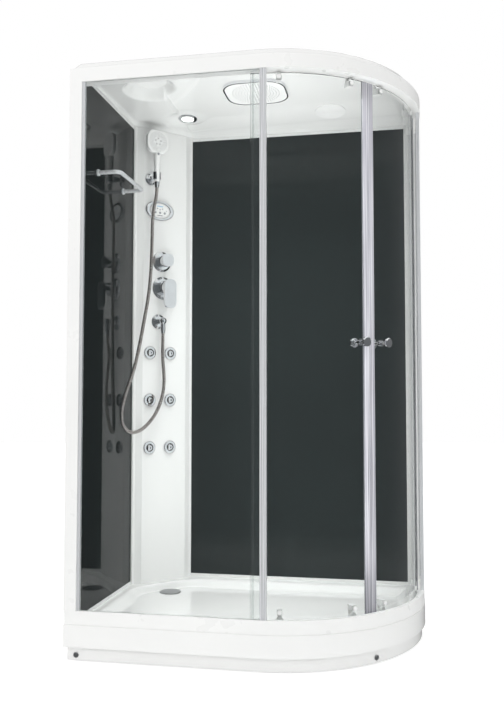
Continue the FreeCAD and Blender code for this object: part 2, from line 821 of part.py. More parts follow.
stud_holes = []
for count, (x, y) in enumerate(foot_spots):
    hole_radius = S.stud_radius + S.stud_clearance
    stud_holes.append(rod(f"stud_hole_{count}", hole_radius, S.tube_size / 2, x, y,
                          tube_bottom - S.tube_wall))
frame_solid = join("frame_outside", [pair[0] for pair in tube_pairs] +
                   [front_strap, front_tab, side_strap, side_tab, corner_strap])
frame_bores = join("frame_bores", [pair[1] for pair in tube_pairs] + stud_holes)
frame_bare = cut("frame_bare", frame_solid, frame_bores)

feet = new_body("levelling_feet")
discs = [Circle(x, y, S.foot_radius) for x, y in foot_spots]
studs = [Circle(x, y, S.stud_radius) for x, y in foot_spots]
nuts = [hexagon(x, y, S.nut_width) for x, y in foot_spots]
pad(feet, discs, 0, S.foot_height)
pad(feet, studs, S.foot_height, tube_top - S.tube_wall * 2)
pad(feet, nuts, tube_bottom - S.nut_height, tube_bottom)
node(feet)

# ---------------------------------------------------------------- plinth screws


def cap_screw(label, play=0):
    """A screw with a round cap; its x points out of the plinth, zero on the plinth's face."""
    shank = S.screw_radius + play
    depth = S.plinth_sheet + S.tube_wall * 4
    body = new_body(label)
    outline = [(-depth, 0), (S.screw_cap_height, 0), (S.screw_cap_height, S.screw_cap_radius - 2),
               (S.screw_cap_height - 2, S.screw_cap_radius), (0, S.screw_cap_radius), (0, shank),
               (-depth, shank)]
    turn(body, outline, axis="H_Axis")
    return body


def screw_bore(label):
    """The straight hole that a cap screw passes through."""
    depth = S.plinth_sheet + S.tube_wall * 8
    body = new_body(label)
    radius = S.screw_radius + S.running_gap
    outline = [(-depth, 0), (S.plinth_sheet, 0), (S.plinth_sheet, radius), (-depth, radius)]
    turn(body, outline, axis="H_Axis")
    return body


def place_screw(item, spot):
    if spot == "front":
        return place(item, front_screw_x, front + S.plinth_recess, S.screw_height,
                     Rotation(Vector(0, 0, 1), -90))
    if spot == "side":
        return place(item, right - S.plinth_recess, frame_rear, S.screw_height)
    place_on_arc(item, corner_screw_angle, S.screw_height)
    reach = S.corner_radius - S.plinth_recess
    x = arc_x + reach * DIAGONAL
    y = arc_y - reach * DIAGONAL
    for axis, part in (("x", x), ("y", y)):
        item.setExpression(f"Placement.Base.{axis}", part.formula)
    return item


screw_spots = ("front", "corner", "side")
screws = [place_screw(cap_screw("screw_" + spot), spot) for spot in screw_spots]
bores = [place_screw(screw_bore("screw_bore_" + spot), spot) for spot in screw_spots]
screw_bores = join("screw_bores", bores)
node(group("plinth_screws", screws))
node(cut("plinth_drilled", plinth, screw_bores), "plinth_panel")
node(cut("frame_drilled", frame_bare, screw_bores), "tray_frame")

# ---------------------------------------------------------------- drain

trap = new_body("drain_trap")
trap_wall = S.tray_wall * 0.6
spigot_root = S.trap_radius / 2
collar_end = S.trap_radius + S.waste_collar
spigot_end = collar_end + S.waste_length
pad(trap, [Circle(0, 0, S.trap_radius)], trap_bottom, tray_underside)
# the outlet points to the rear: its sizes run against the front plane's normal
pad(trap, [Circle(0, spigot_up, S.waste_radius + S.waste_collar)], -collar_end, -spigot_root,
    plane="front")
pad(trap, [Circle(0, spigot_up, S.waste_radius)], -spigot_end, -spigot_root, plane="front")
pocket(trap, [Circle(0, 0, S.trap_radius - trap_wall)], trap_bottom + trap_wall,
       tray_underside - S.tray_wall)
pocket(trap, [Circle(0, 0, S.drain_throat_radius)], tray_underside - S.tray_wall, tray_underside)
pocket(trap, [Circle(0, spigot_up, S.waste_radius - trap_wall)], -spigot_end, -spigot_root,
       plane="front")
node(place(trap, drain_x, drain_y, 0))

drain_cover = new_body("drain_cover")
cover_top = S.running_gap + S.drain_cover_height
guide = S.drain_throat_radius - S.running_gap * 2
turn(drain_cover, [(0, S.running_gap), (guide - 3, S.running_gap), (guide - 3, -S.tray_wall),
                   (guide, -S.tray_wall), (guide, S.running_gap),
                   (S.drain_cover_radius, S.running_gap), (S.drain_cover_radius, cover_top - 2),
                   (S.drain_cover_radius - 2, cover_top), (0, cover_top)])
node(place(drain_cover, drain_x, drain_y, basin_floor))

# ---------------------------------------------------------------- rails and posts

wall_in = S.rail_inset + S.rail_wall
shelf_in = wall_in + S.shelf_width
post_side = left + S.post_width
rear_post_front = rear - S.rear_post_depth
groove_out = S.glass_inset - S.glass_thickness / 2 - S.glass_play
groove_in = S.glass_inset + S.glass_thickness / 2 + S.glass_play
glass_end = arc_x + S.glass_overlap
side_glass_start = arc_y - S.glass_overlap
sheet_wall = S.tray_wall * 0.6


def glass_grooves(extra=2):
    """The two straight slots, seen from above, that hold the fixed glass."""
    front_slot = rectangle(post_side, glass_end + extra, front + groove_out, front + groove_in)
    side_slot = rectangle(right - groove_in, right - groove_out, side_glass_start - extra,
                          rear_post_front)
    return [front_slot, side_slot]


bottom_rail = new_body("bottom_rail")
pad(bottom_rail, [band(S.rail_inset, wall_in, left + S.rail_inset, rear_post_front)],
    S.tray_top, rail_bottom_top)
pad(bottom_rail, [band(wall_in, shelf_in, post_side, rear_post_front)],
    S.tray_top, lower_shelf_top)
pocket(bottom_rail, [band(S.rail_inset + sheet_wall, wall_in - sheet_wall,
                          left + S.rail_inset + sheet_wall, rear_post_front - sheet_wall)],
       S.tray_top, glass_bottom - sheet_wall)
pocket(bottom_rail, [band(wall_in + sheet_wall, shelf_in - sheet_wall,
                          post_side + sheet_wall, rear_post_front - sheet_wall)],
       S.tray_top, lower_shelf_top - sheet_wall)
pocket(bottom_rail, glass_grooves(), glass_bottom, rail_bottom_top)
node(bottom_rail)

top_rail = new_body("top_rail")
pad(top_rail, [band(0, wall_in, post_side, rear_post_front)], rail_top_bottom, rail_top_top)
pad(top_rail, [band(wall_in, shelf_in, post_side, rear_post_front)],
    rail_top_bottom, upper_shelf_top)
pad(top_rail, [band(wall_in, S.rail_cover, post_side, rear_post_front)],
    rail_top_top - S.cover_height, rail_top_top)
pocket(top_rail, [band(sheet_wall, wall_in - sheet_wall, post_side + sheet_wall,
                       rear_post_front - sheet_wall)],
       glass_top + sheet_wall, rail_top_top)
# a downward slot is drawn at the groove's roof and cut to the rail's lower face
pocket(top_rail, glass_grooves(), rail_top_bottom, glass_top)
node(top_rail)

front_post = new_body("front_post")
pad(front_post, [rectangle(left, post_side, front + wall_in, front + S.post_depth)],
    S.tray_top, rail_top_top)
pad(front_post, [rectangle(left, post_side, front, front + S.post_depth)],
    rail_bottom_top, rail_top_top)
pocket(front_post, [rectangle(left + sheet_wall, post_side - sheet_wall,
                              front + wall_in + sheet_wall,
                              front + S.post_depth - sheet_wall)],
       S.tray_top, rail_top_top)
rear_post = new_body("rear_post")
rear_post_side = right - S.rail_inset - S.rear_post_width
pad(rear_post, [rectangle(rear_post_side, right - S.rail_inset, rear_post_front, rear)],
    S.tray_top, rail_top_top)
pocket(rear_post, [rectangle(rear_post_side + sheet_wall, right - groove_in - sheet_wall,
                             rear_post_front + sheet_wall, rear - sheet_wall)],
       S.tray_top, rail_top_top)
node(group("corner_posts", [front_post, rear_post]))

# ---------------------------------------------------------------- fixed glass

glass_out = S.glass_inset - S.glass_thickness / 2
glass_in = S.glass_inset + S.glass_thickness / 2
front_glass = block("front_fixed_glass", (post_side, glass_end),
                    (front + glass_out, front + glass_in), (glass_bottom, glass_top))
side_glass = block("side_fixed_glass", (right - glass_in, right - glass_out),
                   (side_glass_start, rear_post_front), (glass_bottom, glass_top))
node(group("fixed_glass", [front_glass, side_glass]))

half_strip = S.strip_thickness / 2
strip_out = S.glass_inset - half_strip
strip_in = S.glass_inset + half_strip
strip_end = 2
glazing = new_body("glazing_profiles")
front_strips = [
    rectangle(post_side, post_side + S.edge_strip, front + strip_out, front + strip_in),
    rectangle(glass_end + strip_end - S.strip_width, glass_end + strip_end,
              front + strip_out, front + strip_in),
]
side_strips = [
    rectangle(right - strip_in, right - strip_out, side_glass_start - strip_end,
              side_glass_start - strip_end + S.strip_width),
    rectangle(right - strip_in, right - strip_out, rear_post_front - S.edge_strip,
              rear_post_front),
]
pad(glazing, front_strips + side_strips, rail_bottom_top, rail_top_bottom)
pocket(glazing, glass_grooves(0), rail_bottom_top, rail_top_bottom)
node(glazing)

# ---------------------------------------------------------------- wall panels

panel_edge = S.frame_lip * 0.6
left_face = left_glass_face + S.frame_proud
rear_face = rear_glass_face - S.frame_proud
left_frame_ends = (front + S.post_depth, column_left_y + S.frame_lip)
rear_frame_ends = (column_rear_x - S.frame_lip, rear_post_side)
frame_heights = (S.tray_top, rail_top_top)


def grown(pair, amount):
    return pair[0] - amount, pair[1] + amount


left_frame = new_body("left_wall_frame")
pad(left_frame, [rectangle(*left_frame_ends, *frame_heights),
                 rectangle(*grown(left_frame_ends, -S.frame_lip),
                           *grown(frame_heights, -S.frame_lip))],
    left, left_face, plane="side")
seat = grown(left_frame_ends, panel_edge - S.frame_lip)
seat_up = grown(frame_heights, panel_edge - S.frame_lip)
pocket(left_frame, [rectangle(*seat, *seat_up)],
       left_glass_face - S.panel_thickness - S.glass_play, left_glass_face + S.glass_play,
       plane="side")
left_panel = block("left_wall_glass", (left_glass_face - S.panel_thickness, left_glass_face),
                   grown(seat, -S.glass_play), grown(seat_up, -S.glass_play))

rear_frame = new_body("rear_wall_frame")
pad(rear_frame, [rectangle(*rear_frame_ends, *frame_heights),
                 rectangle(*grown(rear_frame_ends, -S.frame_lip),
                           *grown(frame_heights, -S.frame_lip))],
    -rear, -rear_face, plane="front")
seat = grown(rear_frame_ends, panel_edge - S.frame_lip)
pocket(rear_frame, [rectangle(*seat, *seat_up)],
       -(rear_glass_face + S.panel_thickness + S.glass_play), -(rear_glass_face - S.glass_play),
       plane="front")
rear_panel = block("rear_wall_glass", grown(seat, -S.glass_play),
                   (rear_glass_face, rear_glass_face + S.panel_thickness),
                   grown(seat_up, -S.glass_play))
node(group("wall_frames", [left_frame, rear_frame]))
node(group("wall_glass", [left_panel, rear_panel]))

# ---------------------------------------------------------------- corner column

column_out = S.frame_proud / DIAGONAL
face_out = column_out + S.column_bulge
jet_spots = [(across, jet_low + S.jet_pitch * level)
             for level in range(3) for across in (S.jet_left, S.jet_right)]


def column_point(across, out):
    """A point of the column's section, in the plan of the cabin."""
    x = left_glass_face + (across + out) * DIAGONAL
    y = column_left_y + (across - out) * DIAGONAL
    return x, y


def column_section():
    back, fore = column_out, face_out
    sheet_thick = S.column_sheet
    slant = S.column_sheet / 2
    return [
        column_point(as_size(0), back),
        column_point(S.column_edge + slant, back),
        column_point(S.column_slope + slant, fore - sheet_thick),
        column_point(column_width - S.column_slope - slant, fore - sheet_thick),
        column_point(column_width - S.column_edge - slant, back),
        column_point(column_width, back),
        column_point(column_width - sheet_thick, back + sheet_thick),
        column_point(column_width - S.column_edge, back + sheet_thick),
        column_point(column_width - S.column_slope, fore),
        column_point(S.column_slope, fore),
        column_point(S.column_edge, back + sheet_thick),
        column_point(sheet_thick, back + sheet_thick),
    ]


column_sheet = new_body("column_sheet")
pad(column_sheet, [column_section()], S.tray_top, rail_top_top)
openings = new_body("column_openings")
neck_play = S.running_gap
sleeve_radius = S.mixer_hub_radius * 0.8
panel_box = (S.panel_box_width / 2, S.panel_box_height / 2)
holes = [Circle(across, up, S.jet_neck_radius + neck_play) for across, up in jet_spots]
holes.append(Circle(S.mixer_across, mixer_up, sleeve_radius + neck_play))
holes.append(Circle(S.diverter_across, diverter_up, sleeve_radius + neck_play))
holes.append(Circle(S.elbow_across, elbow_up, S.pipe_radius + neck_play))
holes.append(rectangle(S.panel_across - panel_box[0] - neck_play,
                       S.panel_across + panel_box[0] + neck_play,
                       panel_up - panel_box[1] - neck_play,
                       panel_up + panel_box[1] + neck_play))
pad(openings, holes, face_out - S.column_sheet * 2, face_out + S.column_sheet)
place_on_column(openings)
node(cut("corner_column", column_sheet, openings))

# ---------------------------------------------------------------- body jets

jet_rings = new_body("jet_rings")
jet_bore = S.jet_ball_radius + S.jet_play
jet_back = -(S.column_sheet + S.jet_ring_radius)
jet_nut = (-(S.column_sheet + S.jet_ring_height), -S.column_sheet)
pad(jet_rings, [Circle(across, up, S.jet_ring_radius) for across, up in jet_spots],
    0, S.jet_ring_height)
round_edges(jet_rings, S.jet_ring_height / 3, at_height(S.jet_ring_height))
pad(jet_rings, [Circle(across, up, S.jet_neck_radius) for across, up in jet_spots], jet_back, 0)
pad(jet_rings, [hexagon(across, up, S.jet_ring_radius * 1.8) for across, up in jet_spots],
    *jet_nut)
pocket(jet_rings, [Circle(across, up, jet_bore) for across, up in jet_spots],
       jet_back + S.column_sheet, S.jet_ring_height)
node(place_on_column(jet_rings, out=face_out))

ball = S.jet_ball_radius
jet_front = ball * 0.8
jet_tail = ball * 0.5
jet_mouth = ball * 0.3
for count, (across, up) in enumerate(jet_spots, start=1):
    jet = new_body(f"jet_{count}")
    turn(jet, [
        (0, -jet_tail),
        (root(ball * ball - jet_tail * jet_tail), -jet_tail),
        Bend(0, 0),
        (root(ball * ball - jet_front * jet_front), jet_front),
        (jet_mouth, jet_front),
        (jet_mouth, jet_tail),
        (0, jet_tail),
    ])
    node(place_on_column(jet, across, up, face_out + S.jet_play))

# ---------------------------------------------------------------- mixer and diverter

# the sleeves reach this far behind the face, where the valves begin
sleeve_back = S.column_sheet * 5


def cover_plate(label, radius, bore, across, up):
    """A chrome plate with a sleeve through the column."""
    plate_height = S.cover_plate_height
    body = new_body(label)
    turn(body, [(bore, 0), (bore, plate_height), (radius * 0.8, plate_height),
                (radius, plate_height * 0.3), (radius, 0)])
    pad(body, [Circle(0, 0, sleeve_radius), Circle(0, 0, sleeve_radius - sheet_wall)],
        -sleeve_back, plate_height * 0.5)
    return place_on_column(body, across, up, face_out)


plate_bore = sleeve_radius - sheet_wall
mixer_plate = cover_plate("mixer_plate", S.mixer_plate_radius, plate_bore,
                          S.mixer_across, mixer_up)
diverter_plate = cover_plate("diverter_plate", S.diverter_plate_radius, plate_bore,
                             S.diverter_across, diverter_up)
hub_start = S.cover_plate_height + S.running_gap
spindle_radius = plate_bore - S.running_gap
spindle_end = S.running_gap - sleeve_back

mixer_hub = new_body("mixer_hub")
mixer_hub_end = hub_start + S.mixer_hub_length
lever_pivot_up = S.mixer_hub_radius * 0.8
lug_half = S.lever_thickness / 4
lug_width = S.mixer_hub_radius * 0.4
collar_top = hub_start + S.mixer_hub_length * 0.5
turn(mixer_hub, [(0, spindle_end), (spindle_radius, spindle_end),
                 (spindle_radius, hub_start), (S.mixer_collar_radius, hub_start),
                 (S.mixer_collar_radius, collar_top - 2), (S.mixer_hub_radius, collar_top),
                 (S.mixer_hub_radius, mixer_hub_end - 2), (S.mixer_hub_radius - 2, mixer_hub_end),
                 (0, mixer_hub_end)])
# the slot that takes the lever's lug, open towards the top of the hub
lug_slot = rectangle(-lug_width - S.running_gap, lug_width + S.running_gap,
                     lever_pivot_up - lug_half * 2.5, S.mixer_hub_radius * 1.2)
pocket(mixer_hub, [lug_slot], mixer_hub_end - lug_half * 3, mixer_hub_end)
lever_relief = rectangle(-S.mixer_hub_radius, S.mixer_hub_radius,
                         lever_pivot_up - lug_half, S.mixer_hub_radius * 1.2)
pocket(mixer_hub, [lever_relief], mixer_hub_end - lug_half, mixer_hub_end)
node(place_on_column(mixer_hub, S.mixer_across, mixer_up, face_out))

mixer_lever = new_body("mixer_lever")
lever_crown = S.lever_length * 0.25
lever_base = mixer_hub_end + S.running_gap
lever_middle = lever_crown - S.lever_length / 2
pad(mixer_lever, [rounded_rectangle(as_size(0), lever_middle, S.lever_width, S.lever_length,
                                    S.lever_width * 0.42)],
    lever_base, lever_base + S.lever_thickness)
pad(mixer_lever, [rectangle(-lug_width, lug_width, lever_pivot_up - lug_half,
                            lever_pivot_up + lug_half)],
    mixer_hub_end - lug_half * 2, lever_base)
node(place_on_column(mixer_lever, S.mixer_across, mixer_up, face_out))

diverter_knob = new_body("diverter_knob")
knob_end = hub_start + S.diverter_knob_length
knob_radius = S.diverter_knob_radius
knob_face = knob_end - S.cover_plate_height
knob_width = knob_radius * 1.9
turn(diverter_knob, [(0, spindle_end), (spindle_radius, spindle_end),
                     (spindle_radius, hub_start), (knob_radius * 0.93, hub_start),
                     (knob_radius * 0.93, knob_face), (0, knob_face)])
pad(diverter_knob, [rounded_rectangle(as_size(0), as_size(0), knob_width, knob_width,
                                      knob_width * 0.36)],
    knob_face, knob_end)
node(place_on_column(diverter_knob, S.diverter_across, diverter_up, face_out))

# ---------------------------------------------------------------- hose outlet and holder

elbow_arm = S.hose_nut_radius
elbow_drop = S.elbow_plate_radius * 0.9
elbow = new_body("outlet_elbow")
turn(elbow, [(0, 0), (S.elbow_plate_radius, 0), (S.elbow_plate_radius, 3),
             (S.elbow_plate_radius * 0.7, S.cover_plate_height), (0, S.cover_plate_height)])
pad(elbow, [Circle(0, 0, elbow_arm)], S.cover_plate_height, S.elbow_reach)
elbow_ball = elbow_arm * 1.4
turn(elbow, [(0, S.elbow_reach - elbow_ball), Bend(0, S.elbow_reach),
             (0, S.elbow_reach + elbow_ball)])
pad(elbow, [Circle(0, S.elbow_reach, elbow_arm * 0.9)], 0, elbow_drop, plane="front")
pad(elbow, [Circle(0, 0, S.pipe_radius)], -sleeve_back, 0)
node(place_on_column(elbow, S.elbow_across, elbow_up, face_out))


def hose_nut(label, up, across, reach):
    """A conical nut round the hose's end, with its wide end on top."""
    body = new_body(label)
    narrow = S.hose_radius + S.hose_nut_rim
    outline = [(0, 0), (S.hose_nut_radius, 0), (narrow, -S.hose_nut_length),
               (0, -S.hose_nut_length)]
    turn(body, outline, plane="floor")
    return node(place_on_column(body, across, up, face_out + reach))


lower_nut_top = elbow_up - elbow_drop
hose_nut("lower_hose_nut", lower_nut_top, S.elbow_across, S.elbow_reach)
handle_bottom = holder_up - S.handle_drop
hose_nut("upper_hose_nut", handle_bottom, S.holder_across, S.holder_reach)

knuckle = S.clamp_height * 0.3
knuckle_half = knuckle * 0.55
hinge_out = S.holder_reach * 0.45
pin_radius = knuckle * 0.33
cheek_width = knuckle * 0.6
holder = new_body("holder_plate")
turn(holder, [(0, 0), (S.holder_plate_radius, 0), (S.holder_plate_radius, 4),
              (S.holder_plate_radius * 0.7, S.cover_plate_height), (0, S.cover_plate_height)])
pad(holder, [Circle(0, 0, knuckle * 0.9)], S.cover_plate_height, hinge_out - knuckle - 1)
pad(holder, [rectangle(-knuckle_half, knuckle_half, -knuckle * 0.8, knuckle * 0.8)],
    hinge_out - knuckle - 1, hinge_out)
pad(holder, [Circle(0, hinge_out, knuckle)], -knuckle_half, knuckle_half, plane="side")
pocket(holder, [Circle(0, hinge_out, pin_radius + S.axle_play)], -knuckle_half, knuckle_half,
       plane="side")
place_on_column(holder, S.holder_across, holder_up, face_out)
node(group("cover_rosettes", [mixer_plate, diverter_plate, holder]))

half_head = S.shower_head_width / 2
handle_length = S.handle_drop + S.shower_head_rise - half_head * 0.6
clamp_share = (S.handle_drop + S.clamp_height / 2) / handle_length
clamp_bore = (S.handle_foot_radius + (S.handle_radius - S.handle_foot_radius) * clamp_share
              + S.running_gap)
clamp = new_body("holder_clamp")
clamp_outer = clamp_bore + S.clamp_wall
cheek_start = knuckle_half + S.running_gap
cheek_end = cheek_start + cheek_width
clamp_back = S.holder_reach - clamp_bore - S.clamp_wall / 2
for low, high in ((cheek_start, cheek_end), (-cheek_end, -cheek_start)):
    pad(clamp, [Circle(0, hinge_out, knuckle)], low, high, plane="side")
    pad(clamp, [rectangle(-knuckle, knuckle, hinge_out, clamp_back)], low, high, plane="side")
pad(clamp, [Circle(0, hinge_out, pin_radius)], -cheek_end, cheek_end, plane="side")
half_clamp = S.clamp_height / 2
pad(clamp, [Circle(0, S.holder_reach, clamp_outer)], -half_clamp, half_clamp, plane="front")
pocket(clamp, [Circle(0, S.holder_reach, clamp_bore)], -half_clamp, half_clamp, plane="front")
# the mouth that the hose passes through
pocket(clamp, [rectangle(-S.hose_radius - 1, S.hose_radius + 1, S.holder_reach,
                         S.holder_reach + clamp_outer)],
       -half_clamp, half_clamp, plane="front")
node(place_on_column(clamp, S.holder_across, holder_up, face_out))

# ---------------------------------------------------------------- hand shower

shower = new_body("hand_shower")
turn(shower, [(0, -S.handle_drop), (S.handle_foot_radius, -S.handle_drop),
              (S.handle_radius, handle_length - S.handle_drop),
              (0, handle_length - S.handle_drop)], plane="floor")
depth = S.shower_head_depth
face = depth * 0.4
back = face - depth
plate_back = back * 0.3
turn(shower, [(0, back), (half_head * 0.45, back * 0.95), (half_head * 0.8, back * 0.6),
              (half_head * 0.9, plate_back), (0, plate_back)],
     lift=-S.shower_head_rise)
pad(shower, [rounded_rectangle(as_size(0), S.shower_head_rise, S.shower_head_width,
                               S.shower_head_width, S.shower_head_corner)],
    plate_back, face)
round_edges(shower, depth / 8, at_height(face))
button_up = S.shower_head_rise - half_head - S.button_radius
button_seat = S.handle_radius * 0.5
pad(shower, [Circle(0, button_up, S.button_radius * 1.7)], 0, S.handle_radius)
pocket(shower, [Circle(0, button_up, S.button_radius + S.running_gap)], button_seat,
       S.handle_radius)
node(place_on_column(shower, S.holder_across, holder_up, face_out + S.holder_reach))

shower_button = new_body("shower_button")
pad(shower_button, [Circle(0, button_up, S.button_radius)],
    button_seat + S.button_travel * 1.5, S.handle_radius + S.button_travel)
round_edges(shower_button, 1, at_height(S.handle_radius + S.button_travel))
node(place_on_column(shower_button, S.holder_across, holder_up, face_out + S.holder_reach))

# ---------------------------------------------------------------- control panel

bezel = new_body("control_bezel")
pad(bezel, [Ellipse(0, 0, S.panel_half_width, S.panel_half_height),
            Ellipse(0, 0, S.face_half_width + S.running_gap, S.face_half_height + S.running_gap)],
    0, S.panel_height)
round_edges(bezel, S.panel_height / 3, at_height(S.panel_height))
node(place_on_column(bezel, S.panel_across, panel_up, face_out))

panel_face = S.panel_height * 0.8
button_spots = [(S.button_pitch * step, S.face_half_height * -0.3) for step in (-1, 0, 1)]
button_floor = panel_face - S.button_travel * 3
panel = new_body("control_panel")
pad(panel, [Ellipse(0, 0, S.face_half_width, S.face_half_height)], 0, panel_face)
pad(panel, [rectangle(-panel_box[0], panel_box[0], -panel_box[1], panel_box[1])],
    -S.panel_box_depth, 0)
pocket(panel, [Circle(x, y, S.button_radius + S.running_gap) for x, y in button_spots],
       button_floor, panel_face)
node(place_on_column(panel, S.panel_across, panel_up, face_out))
for count, (x, y) in enumerate(button_spots, start=1):
    button = new_body(f"panel_button_{count}")
    pad(button, [Circle(x, y, S.button_radius)], button_floor + S.button_travel * 1.2,
        panel_face + S.button_travel * 0.8)
    node(place_on_column(button, S.panel_across, panel_up, face_out))

# ---------------------------------------------------------------- water behind the column

manifold = new_body("water_pipes")
rain_inlet_top = ceiling + S.rain_pipe_rise
rain_feed_up = rain_inlet_top + S.knee_radius


def knee(label, x, y):
    """The round fitting between two pipes over the roof."""
    item = doc.addObject("Part::Sphere", label)
    item.Label = label
    bind(item, Radius=S.knee_radius)
    return place(item, x, y, rain_feed_up)


valve_front = -sleeve_back
valve_back = valve_front - S.mixer_hub_radius * 1.6
valve_radius = S.mixer_hub_radius * 1.5
pipe_out = (valve_front + valve_back) / 2
jet_middle = (S.jet_left + S.jet_right) / 2


def upright_pipe(across, low, high):
    """A pipe up the back of the column: drawn on the plane that looks along it."""
    pad(manifold, [Circle(across, pipe_out, S.pipe_radius)], -high, -low, plane="front")


def level_pipe(up, start, stop):
    """A pipe across the back of the column."""
    pad(manifold, [Circle(up, pipe_out, S.pipe_radius)], start, stop, plane="side")


pad(manifold, [Circle(S.mixer_across, mixer_up, valve_radius),
               Circle(S.diverter_across, diverter_up, valve_radius)], valve_back, valve_front)
upright_pipe(S.diverter_across, elbow_up, rain_feed_up)
upright_pipe(jet_middle, jet_low, elbow_up)
level_pipe(elbow_up, jet_middle - S.pipe_radius, S.mixer_across)
for level in range(3):
    level_pipe(jet_low + S.jet_pitch * level, S.jet_left - S.pipe_radius,
               S.jet_right + S.pipe_radius)
pad(manifold, [Circle(across, up, S.pipe_radius) for across, up in jet_spots], pipe_out, jet_back)
pad(manifold, [Circle(S.elbow_across, elbow_up, S.pipe_radius)], pipe_out, valve_front)
inlets = [Circle(S.mixer_across + side * S.inlet_spread / 2, mixer_up, S.inlet_radius)
          for side in (-1, 1)]
pad(manifold, inlets, valve_back - S.inlet_length, valve_back)
place_on_column(manifold, out=face_out)

# over the roof the pipe runs along the rear and then forward to the rain head
feed_x, feed_y = column_point(S.diverter_across, face_out + pipe_out)
rain_feed = [
    rod("rain_feed_along", S.pipe_radius, S.rain_x - feed_x, feed_x, feed_y, rain_feed_up,
        ALONG_X),
    rod("rain_feed_forward", S.pipe_radius, feed_y - S.rain_y, S.rain_x, S.rain_y, rain_feed_up,
        ALONG_Y),
    rod("rain_feed_down", S.pipe_radius, rain_feed_up - rain_inlet_top, S.rain_x, S.rain_y,
        rain_inlet_top),
    knee("rain_feed_knee_1", feed_x, feed_y),
    knee("rain_feed_knee_2", S.rain_x, feed_y),
    knee("rain_feed_knee_3", S.rain_x, S.rain_y),
]
node(join("water_manifold", [manifold] + rain_feed))

# ---------------------------------------------------------------- shower hose

# the hose's route on the column's face: across, out of the wall, up
HOSE_ROUTE = [
    (58, 62, 1645),
    (56, 63, 1530),
    (50, 67, 1400),
    (36, 73, 1292),
    (15, 82, 1206),
    (-9, 92, 1103),
    (-33, 102, 1020),
    (-60, 113, 950),
    (-88, 123, 890),
    (-108, 130, 826),
    (-99, 124, 768),
    (-54, 108, 737),
    (6, 92, 752),
    (62, 79, 802),
    (98, 69, 860),
    (117, 61, 925),
    (119, 55, 985),
    (114, 50, 1050),
]


def hose_points():
    """The route's points, from the hand shower's nut down and up to the outlet's nut."""
    reach = face_out + S.holder_reach
    top_up = handle_bottom - S.hose_nut_length
    end_reach = face_out + S.elbow_reach
    end_up = lower_nut_top - S.hose_nut_length
    route = [(S.holder_across, reach, top_up), (S.holder_across, reach, top_up - S.hose_lead)]
    route += HOSE_ROUTE
    route += [(S.elbow_across, end_reach, end_up - S.hose_lead),
              (S.elbow_across, end_reach, end_up)]
    spots = []
    for across, out, up in route:
        x, y = column_point(as_size(across), as_size(out))
        spots.append(Vector(x.value, y.value, as_size(up).value))
    return spots


def rounded_wire(points):
    """Straight runs joined by tangent arcs; gives the wire and the arcs' radii."""
    edges = []
    radii = []
    start = points[0]
    for before, corner, after in zip(points, points[1:], points[2:]):
        incoming = (corner - before).normalize()
        outgoing = (after - corner).normalize()
        half_turn = incoming.getAngle(outgoing) / 2
        shorter = min((corner - before).Length, (after - corner).Length)
        radius = 0.45 * shorter / math.tan(half_turn)
        radii.append(radius)
        setback = radius * math.tan(half_turn)
        enter = corner - incoming * setback
        leave = corner + outgoing * setback
        bisector = (outgoing - incoming).normalize()
        centre = corner + bisector * (radius / math.cos(half_turn))
        middle = centre - bisector * radius
        edges.append(Part.LineSegment(start, enter).toShape())
        edges.append(Part.Arc(enter, middle, leave).toShape())
        start = leave
    edges.append(Part.LineSegment(start, points[-1]).toShape())
    return Part.Wire(edges), radii


hose_wire, hose_radii = rounded_wire(hose_points())
hose_start = hose_wire.Edges[0]
ring = Part.Wire(Part.makeCircle(S.hose_radius.value, hose_start.Vertexes[0].Point,
                                 hose_start.tangentAt(hose_start.FirstParameter)))
hose = doc.addObject("Part::Feature", "shower_hose")
hose.Shape = hose_wire.makePipeShell([ring], True, False)
hose.Placement = Placement()
node(hose, "shower_hose")
hose_volume = math.pi * S.hose_radius.value ** 2 * hose_wire.Length
print("hose length", round(hose_wire.Length, 1),
      "volume against section times length", round(hose.Shape.Volume / hose_volume, 4))
print("hose radii", [round(radius) for radius in hose_radii])

# ---------------------------------------------------------------- towel bar

towel_x = left_glass_face + S.towel_reach
bend_x = towel_x - S.towel_bend
towel_pieces = []
for label, y, way in (("front", towel_front, 1), ("rear", towel_rear, -1)):
    bend_y = y + S.towel_bend * way
    towel_pieces.append(rod("towel_leg_" + label, S.towel_radius, bend_x - left_glass_face,
                            left_glass_face, y, S.towel_up, ALONG_X))
    towel_pieces.append(rod("towel_flange_" + label, S.towel_flange_radius,
                            S.towel_flange_height, left_glass_face, y, S.towel_up, ALONG_X))
    elbow_turn = doc.addObject("Part::Torus", "towel_bend_" + label)
    bind(elbow_turn, Radius1=S.towel_bend, Radius2=S.towel_radius)
    elbow_turn.Angle3 = 90
    quarter = Rotation(Vector(0, 0, 1), -90 if way > 0 else 0)
    towel_pieces.append(place(elbow_turn, bend_x, bend_y, S.towel_up, quarter))
towel_pieces.append(rod("towel_run", S.towel_radius,
                        towel_rear - towel_front - S.towel_bend * 2,
                        towel_x, towel_front + S.towel_bend, S.towel_up, ALONG_Y))
node(join("towel_bar", towel_pieces))

# ---------------------------------------------------------------- doors

door_bottom = lower_shelf_top + S.door_lift
door_top = rail_top_bottom - S.door_lift
door_in = S.door_radius - S.glass_thickness / 2
door_out = S.door_radius + S.glass_thickness / 2
